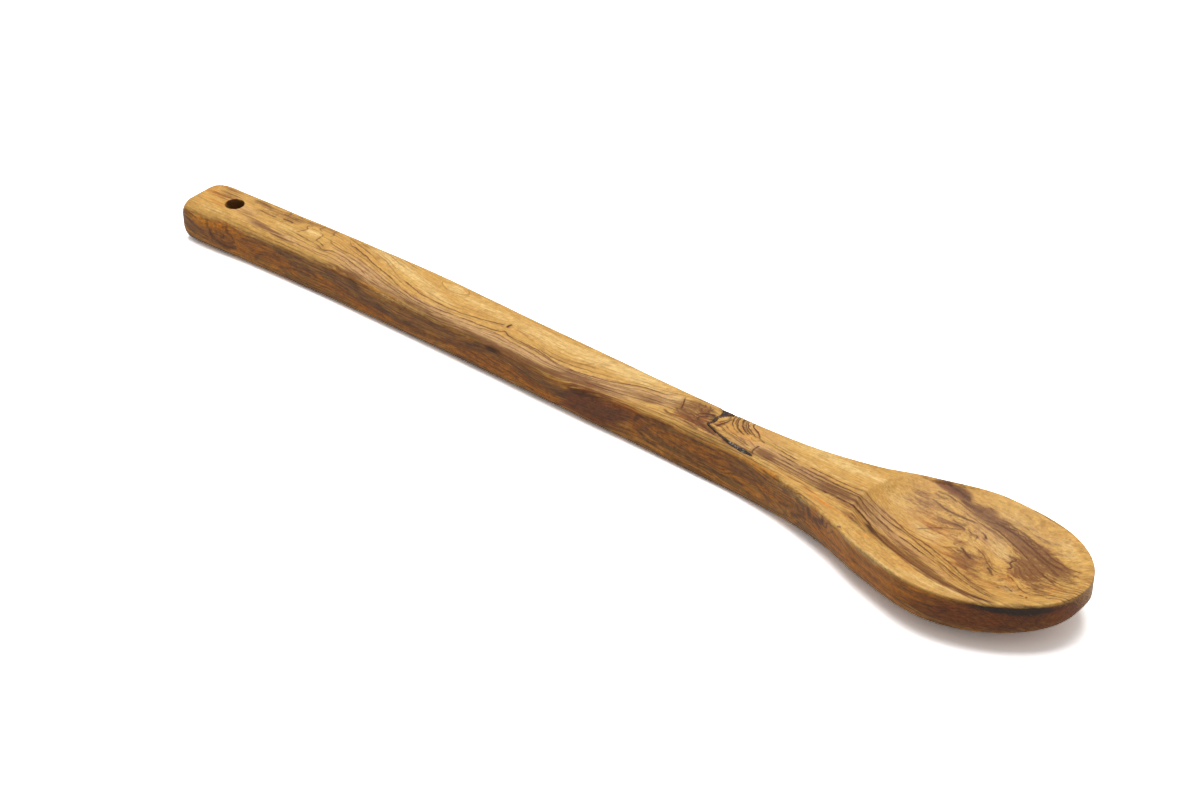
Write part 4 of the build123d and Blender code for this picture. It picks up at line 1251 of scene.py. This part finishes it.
def growth_line_group():
    """Growth lines at whole numbers of a count: each ring darkens slowly and ends in a thin line
    that is dark in one ring and faint in the next. Widths are in millimetres, by way of the gap
    between two lines."""
    tree, w, given, out = new_group("Growth lines", ("Growth", "Fibre"), ("Line", "Tone"))
    place = w.place()
    count, seen, gap = (w.split(given["Growth"])[i] for i in range(3))
    ripple = w.minus(w.noise(place, 420, 3.0, 0.55), 0.5)
    count = w.plus(count, w.times(ripple, 0.5))
    along = w.times(w.split(given["Fibre"])[0], 0.6)

    def strength(ring):
        """How dark one ring is here, and 0 where rings aren't seen."""
        kind = w.noise(w.join(along, w.times(ring, 3.37), 0.0), 1.0, 1.0)
        return w.times(seen, w.times(w.step(kind, 0.32, 0.68), 0.8))

    ring = w.math("ROUND", count)
    away = w.times(w.math("ABSOLUTE", w.minus(count, ring)), gap)
    half = w.times(w.noise(place, 260, 3.0, 0.7), 0.55)
    line = w.minus(1.0, w.step(away, 0.0, half))
    part = w.minus(count, w.math("FLOOR", count))
    tone = w.times(w.math("POWER", part, 2.0), w.step(gap, 0.3, 0.9))
    w.feed(out["Line"], w.times(line, strength(ring)))
    w.feed(out["Tone"], w.times(tone, strength(w.math("CEIL", count))))
    return tree


def drawn_line_group():
    """A line drawn from its signed distance, strength and half width, with a worn edge, darker and
    fainter stretches, and a shade that fades away on one side of it."""
    tree, w, given, out = new_group("Drawn line", ("Drawn",), ("Line", "Shade"))
    off, strength, half = (w.split(given["Drawn"])[i] for i in range(3))
    place = w.place()
    ripple = w.times(w.minus(w.noise(place, 520, 4.0, 0.65), 0.5), 0.8)
    off = w.plus(off, ripple)
    away = w.math("ABSOLUTE", off)
    broken = w.noise(place, 300, 3.0, 0.75)
    reach = w.times(half, w.plus(0.3, w.times(broken, 3.6)))
    line = w.minus(1.0, w.step(away, w.times(reach, 0.15), reach))
    uneven = w.times(w.step(w.noise(place, 170, 2.0, 0.6), 0.2, 0.52), strength)
    faded = w.minus(1.0, w.step(away, 0.0, w.times(half, 7.0)))
    one_side = w.step(off, -0.1, 0.1)
    w.feed(out["Line"], w.times(line, uneven))
    w.feed(out["Shade"], w.times(w.times(faded, one_side), uneven))
    return tree


def fibre_group():
    """Wood fibre drawn out along the grain: bands, soft streaks, fine threads and short dark pores."""
    tree, w, given, out = new_group("Wood fibre", ("Fibre",), ("Band", "Streak", "Pore", "Fine"))
    fibre = given["Fibre"]
    w.feed(out["Band"], w.noise(w.vector("MULTIPLY", fibre, (0.45, 0.62, 0.7)), 1.0, 5.0, 0.62, 0.5))
    w.feed(out["Streak"], w.noise(w.vector("MULTIPLY", fibre, (0.8, 1.1, 1.6)), 1.0, 7.0, 0.72, 0.3))
    w.feed(out["Fine"], w.noise(w.vector("MULTIPLY", fibre, (2.6, 2.6, 5.0)), 1.0, 5.0, 0.74))
    pore = w.noise(w.vector("MULTIPLY", fibre, (5.0, 6.0, 11.0)), 1.0, 1.0, 0.5)
    w.feed(out["Pore"], w.step(pore, 0.64, 0.76))
    return tree


def fleck_group():
    """Burl: soft mottling, small dark specks drawn out along the grain, and a few edges."""
    tree, w, given, out = new_group("Burl flecks", ("Fibre",), ("Mottle", "Speck", "Edge"))
    fibre = given["Fibre"]
    field = w.noise(w.vector("MULTIPLY", fibre, (3.0, 0.55, 0.9)), 1.0, 6.0, 0.68, 0.7)
    speck = w.noise(w.vector("MULTIPLY", fibre, (7.5, 1.5, 2.4)), 1.0, 4.0, 0.62, 0.4)
    w.feed(out["Mottle"], w.step(field, 0.44, 0.62))
    w.feed(out["Speck"], w.times(w.step(speck, 0.54, 0.62), w.step(field, 0.42, 0.56)))
    past_edge = w.minus(1.0, w.step(field, 0.56, 0.61))
    w.feed(out["Edge"], w.times(w.step(field, 0.54, 0.555), past_edge))
    return tree


def use_group(w, tree, **inputs):
    """Places a node group and feeds its inputs."""
    made = w.tree.nodes.new("ShaderNodeGroup")
    made.node_tree = tree
    for name, value in inputs.items():
        w.feed(made.inputs[name], value)
    return made.outputs


def in_bore(w, place, middle, radius):
    """1 inside the hanging hole's bore, found from the distance to its axis."""
    off = w.vector("SUBTRACT", place, tuple(middle))
    flat = w.vector("MULTIPLY", off, (1, 1, 0))
    away = w.node("ShaderNodeVectorMath", {"operation": "LENGTH"})
    w.feed(away.inputs[0], flat)
    blend = 0.06 * MM
    return w.minus(1.0, w.step(away.outputs["Value"], radius - blend, radius + blend))


def drawn_marks(w, line):
    """The growth lines joined by the drawn ones, and the shades beside the drawn ones."""
    drawn_tree = drawn_line_group()
    shade = 0.0
    for name in TOP_SHEETS + SIDE_SHEETS:
        drawn = use_group(w, drawn_tree, Drawn=w.attribute(name, "Vector"))
        line = w.math("MAXIMUM", line, drawn["Line"])
        shade = w.math("MAXIMUM", shade, drawn["Shade"])
    return line, shade


def stain(w, look, colour, kind, uneven, low, high, share, tint=None):
    """The colour with a kind of stain laid over it: none where its uneven strength is under low,
    and its full share over high."""
    held = w.attribute(kind)
    amount = w.plus(held, w.times(uneven, w.step(held, 0.0, 0.3)))
    amount = w.times(w.step(amount, low, high), share)
    return w.mix(amount, colour, tint or tuple(getattr(look, kind)))


def stained_wood(w, look, place, tone, band, streaky, uneven):
    """Gold to honey in streaks, with the sides, the paler wood, the warmer wood and painted sheen
    laid over it, then the tone of the growth lines and the heartwood."""
    cloud = w.noise(place, 90, 3.0, 0.55)
    honey = w.times(streaky, 2.6)
    honey = w.plus(honey, w.times(cloud, 0.7), clamp=True)
    colour = w.mix(honey, tuple(look.gold), tuple(look.honey))
    bands = w.step(w.plus(band, w.times(streaky, 0.7)), 0.40, 0.60)
    side = w.mix(bands, tuple(look.side_dark), tuple(look.side))
    colour = stain(w, look, colour, "side", uneven, 0.1, 1.0, 0.85, side)
    # Rose and pale lay painted sheen over the wood as well as their own tones.
    for kind, low, share in (("rose", 0.0, 0.8), ("pale", 0.0, 0.85), ("orange", 0.1, 0.92)):
        colour = stain(w, look, colour, kind, uneven, low, 1.0, share)
    colour = w.mix(w.times(tone, 0.55), colour, tuple(look.brown))
    colour = stain(w, look, colour, "brown", uneven, 0.15, 1.0, 0.88)
    return stain(w, look, colour, "rust", uneven, 0.15, 1.05, 0.86)


def marked_wood(w, look, colour, flecks, line, shade, pore, uneven):
    """Burl flecks, shades, dark lines, soot and pores over the stained wood."""
    burl = w.step(w.attribute("burl"), 0.15, 0.9)
    kinds = (("Mottle", 0.30, look.brown), ("Edge", 0.14, look.brown), ("Speck", 0.45, look.line))
    for name, share, tint in kinds:
        amount = w.times(w.times(flecks[name], burl), share)
        colour = w.mix(amount, colour, tuple(tint))
    colour = w.mix(w.times(shade, 0.34), colour, tuple(look.brown))
    colour = w.mix(w.times(line, 0.95, clamp=True), colour, tuple(look.line))
    darkest = w.times(w.step(line, 0.95, 1.4), 0.6)
    colour = w.mix(darkest, colour, tuple(look.soot))
    softer = w.times(uneven, 0.3)
    colour = stain(w, look, colour, "soot", softer, 0.05, 1.15, 0.92)
    return w.mix(w.times(pore, 0.22), colour, tuple(look.line))


def grain_level(w, fine, streaky, ragged):
    """How light the grain is, around 1, as a colour to multiply by: it swings more on the sides,
    and more in blue than in red."""
    grained = w.times(w.minus(fine, 0.5), 1.45)
    grained = w.plus(grained, w.times(ragged, 0.6))
    swing = w.plus(1.0, w.times(w.attribute("side"), 0.8))
    grained = w.times(grained, swing)
    level = w.plus(1.0, w.plus(grained, w.times(streaky, 0.6)))
    level = w.math("MAXIMUM", level, 0.2)
    return w.join(level, w.math("POWER", level, 1.15), w.math("POWER", level, 1.35))


def oil_finish(w, shader, fine, pore, line):
    """A satin finish, rougher in the pores, with fine grain, pores and lines pressed in."""
    rough = w.plus(0.36, w.times(fine, 0.16))
    w.feed(shader.inputs["Roughness"], w.plus(rough, w.times(pore, 0.2)))
    height = w.minus(w.times(fine, 0.6), pore)
    height = w.minus(height, w.times(w.step(line, 0.6, 1.2), 2.0))
    bump = w.node("ShaderNodeBump", Strength=0.4, Distance=0.1 * MM, Height=height)
    w.feed(shader.inputs["Normal"], bump.outputs["Normal"])
    shader.inputs["Specular IOR Level"].default_value = 0.3


def wood_material(look, bore, bore_radius):
    """Olive wood: golden clear wood, crossed by growth lines, streaked and stained brown, orange
    and red, with burl flecks and dark marks, under an oil finish."""
    material, w, shader = new_material("Olive wood")
    place = w.place()
    fibre = w.attribute("fibre", "Vector")
    counted = w.attribute("growth", "Vector")
    rings = use_group(w, growth_line_group(), Growth=counted, Fibre=fibre)
    grain = use_group(w, fibre_group(), Fibre=fibre)
    flecks = use_group(w, fleck_group(), Fibre=fibre)
    fine, pore = grain["Fine"], grain["Pore"]
    streaky = w.minus(grain["Streak"], 0.5)
    ragged = w.minus(w.noise(place, 700, 4.0, 0.65), 0.5)
    uneven = w.plus(w.times(streaky, 3.2), w.times(ragged, 0.6))
    line, shade = drawn_marks(w, rings["Line"])

    colour = stained_wood(w, look, place, rings["Tone"], grain["Band"], streaky, uneven)
    colour = marked_wood(w, look, colour, flecks, line, shade, pore, uneven)
    inside = w.times(in_bore(w, place, bore, bore_radius), 0.9)
    colour = w.mix(inside, colour, tuple(look.bore))
    colour = w.mix(1.0, colour, grain_level(w, fine, streaky, ragged), "MULTIPLY")
    w.feed(shader.inputs["Base Color"], colour)
    oil_finish(w, shader, fine, pore, line)
    return material


def bark_material(look):
    """Ingrown bark: near black and gnarled, with silvery glints painted into its colour, where its surface
    is also smoother.
    """
    material, w, shader = new_material("Bark")
    place = w.place()
    coarse = w.noise(place, 900, 4.0, 0.6)
    fine = w.noise(place, 2600, 3.0, 0.6)
    sparse = w.plus(fine, w.times(w.attribute("glint"), 0.12))
    # Painted glints: silvery grey specks laid into the bark's colour, where it is also less rough.
    glint = w.times(w.step(sparse, 0.60, 0.66), w.step(coarse, 0.44, 0.56))
    colour = w.mix(w.step(coarse, 0.35, 0.75), tuple(look.bark), tuple(look.line))
    colour = w.mix(glint, colour, tuple(look.bark_glint))
    w.feed(shader.inputs["Base Color"], colour)
    w.feed(shader.inputs["Roughness"], w.minus(0.55, w.times(glint, 0.3)))
    bump = w.node("ShaderNodeBump", Strength=0.8, Distance=0.2 * MM, Height=coarse)
    w.feed(shader.inputs["Normal"], bump.outputs["Normal"])
    return material


def floor_material(look):
    """White floor that keeps its shadows: overexposed where the camera looks at it, and dim to the
    light that it throws back on the spoon."""
    material, w, shader = new_material("Floor")
    rays = w.node("ShaderNodeLightPath").outputs
    mirrored = w.math("MAXIMUM", rays["Is Glossy Ray"], rays["Is Transmission Ray"])
    colour = w.mix(mirrored, tuple(look.floor), (1, 1, 1, 1))
    white = (look.floor_gain, look.floor_gain, look.floor_gain, 1)
    w.feed(shader.inputs["Base Color"], w.mix(rays["Is Camera Ray"], colour, white))
    shader.inputs["Roughness"].default_value = 1.0
    shader.inputs["Specular IOR Level"].default_value = 0.0
    return material


def light_world(scene, look):
    """Even white light from all round."""
    world = bpy.data.worlds.new("Studio")
    scene.world = world
    world.use_nodes = True
    background = world.node_tree.nodes["Background"]
    background.inputs["Color"].default_value = (1, 1, 1, 1)
    background.inputs["Strength"].default_value = look.sky


def add_soft_box(scene, look):
    """A square lamp over the spoon, aimed at its middle."""
    lamp = bpy.data.lights.new("soft box", "AREA")
    lamp.shape = "SQUARE"
    lamp.size = look.lamp_size
    lamp.energy = look.lamp
    held = bpy.data.objects.new("soft box", lamp)
    x, y, z = -look.lamp_shift, look.lamp_shift, look.lamp_height
    held.location = (x, y, z)
    held.rotation_euler = (math.atan2(math.hypot(x, y), z), 0, math.atan2(x, -y) + math.pi)
    scene.collection.objects.link(held)


def add_camera(scene, look):
    """A long lens on the near side that looks down at its aim."""
    camera = bpy.data.cameras.new("camera")
    camera.lens = look.lens
    camera.sensor_width = 36
    camera.clip_start = 0.01
    camera.clip_end = 20
    held = bpy.data.objects.new("camera", camera)
    level, up = math.cos(look.elevation), math.sin(look.elevation)
    back = np.array([math.sin(look.turn) * level, -math.cos(look.turn) * level, up])
    held.location = np.array(look.aim) + back * look.distance
    held.rotation_euler = (math.pi / 2 - look.elevation, 0, look.turn)
    scene.collection.objects.link(held)
    scene.camera = held


def bored(context, body, cutter):
    """The body's mesh with the cutter taken out of it."""
    cut = body.modifiers.new("Hanging hole", "BOOLEAN")
    cut.operation = "DIFFERENCE"
    cut.solver = "EXACT"
    cut.object = cutter
    context.view_layer.update()
    evaluated = body.evaluated_get(context.evaluated_depsgraph_get())
    mesh = bpy.data.meshes.new_from_object(evaluated)
    body.modifiers.clear()
    if len(mesh.vertices) == len(body.data.vertices):
        raise RuntimeError("The hanging hole was not bored")
    mesh.materials.clear()
    mesh.shade_smooth()
    return mesh


def remove(made):
    """Deletes an object and its mesh."""
    mesh = made.data
    bpy.data.objects.remove(made)
    bpy.data.meshes.remove(mesh)


class SPOON_OT_body(bpy.types.Operator):
    """Carve the spoon's body, bore its hanging hole and give it its olive wood"""

    bl_idname = "spoon.body"
    bl_label = "Carved body"

    def execute(self, context):
        form = Form(in_millimetres(context.scene.spoon_sizes))
        s = form.size
        rings = spoon_rings(form)
        vertices, faces = closed_grid(rings, rings[0].mean(0), rings[-1].mean(0))
        placed, shift = to_packed_frame(form, vertices)
        body = make_object("carved_body", placed, faces)
        vertices, faces = hole_cutter(form)
        cutter = make_object("hole_cutter", to_packed_frame(form, vertices)[0], faces)
        body.data = bored(context, body, cutter)
        remove(cutter)
        paint_wood(body.data, form, shift)
        hole = np.array([s.hole_inset, form.centre(np.array(s.hole_inset)), 0])
        bore = to_packed_frame(form, hole)[0]
        bore_radius = (s.hole_diameter / 2 + s.hole_wear * 0.7) * MM
        material = wood_material(context.scene.wood_look, bore, bore_radius)
        body.data.materials.append(material)
        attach(body, "root")
        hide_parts("spoon_body")
        return {"FINISHED"}


class SPOON_OT_bark(bpy.types.Operator):
    """Lay the seam of ingrown bark in its groove on the neck"""

    bl_idname = "spoon.bark"
    bl_label = "Ingrown bark"

    def execute(self, context):
        form = Form(in_millimetres(context.scene.spoon_sizes))
        vertices, faces, glint = bark_seam(form)
        seam = make_object("bark_seam", to_packed_frame(form, vertices)[0], faces)
        keep_on_vertices(seam.data, "glint", glint)
        seam.data.materials.append(bark_material(context.scene.wood_look))
        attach(seam, "root")
        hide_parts("bark_inclusion")
        return {"FINISHED"}


class SPOON_OT_stage(bpy.types.Operator):
    """Set the white floor, the light from all round, the soft box and the camera"""

    bl_idname = "spoon.stage"
    bl_label = "Stage"

    def execute(self, context):
        scene = context.scene
        look = scene.stage_look
        reach = look.floor_reach
        corners = [(-reach, -reach, 0), (reach, -reach, 0), (reach, reach, 0), (-reach, reach, 0)]
        floor = make_object("floor", corners, [(0, 1, 2, 3)])
        floor.data.materials.append(floor_material(look))
        light_world(scene, look)
        add_soft_box(scene, look)
        add_camera(scene, look)
        scene.view_settings.view_transform = "Standard"
        return {"FINISHED"}


class SPOON_PT_panel(bpy.types.Panel):
    """Lists the spoon's sizes, colours and pieces"""

    bl_label = "Spoon"
    bl_space_type = "VIEW_3D"
    bl_region_type = "UI"
    bl_category = "Spoon"

    def draw(self, context):
        for title, group in (
            ("Sizes", context.scene.spoon_sizes),
            ("Colours", context.scene.wood_look),
            ("Stage", context.scene.stage_look),
        ):
            box = self.layout.box()
            box.label(text=title)
            for name in group.__annotations__:
                box.prop(group, name)
        for operator in (SPOON_OT_body, SPOON_OT_bark, SPOON_OT_stage):
            self.layout.operator(operator.bl_idname)


CLASSES = (SpoonSizes, WoodLook, StageLook, SPOON_OT_body, SPOON_OT_bark, SPOON_OT_stage, SPOON_PT_panel)


def register():
    """Makes the classes known to Blender, and hangs their values on the scene."""
    for kind in CLASSES:
        bpy.utils.register_class(kind)
    bpy.types.Scene.spoon_sizes = bpy.props.PointerProperty(type=SpoonSizes)
    bpy.types.Scene.wood_look = bpy.props.PointerProperty(type=WoodLook)
    bpy.types.Scene.stage_look = bpy.props.PointerProperty(type=StageLook)


def unregister():
    """Takes the classes and their values out again."""
    del bpy.types.Scene.stage_look
    del bpy.types.Scene.wood_look
    del bpy.types.Scene.spoon_sizes
    for kind in reversed(CLASSES):
        bpy.utils.unregister_class(kind)


def main():
    """Makes every piece and the stage."""
    register()
    bpy.ops.spoon.body()
    bpy.ops.spoon.bark()
    bpy.ops.spoon.stage()


if __name__ == "__main__":
    main()
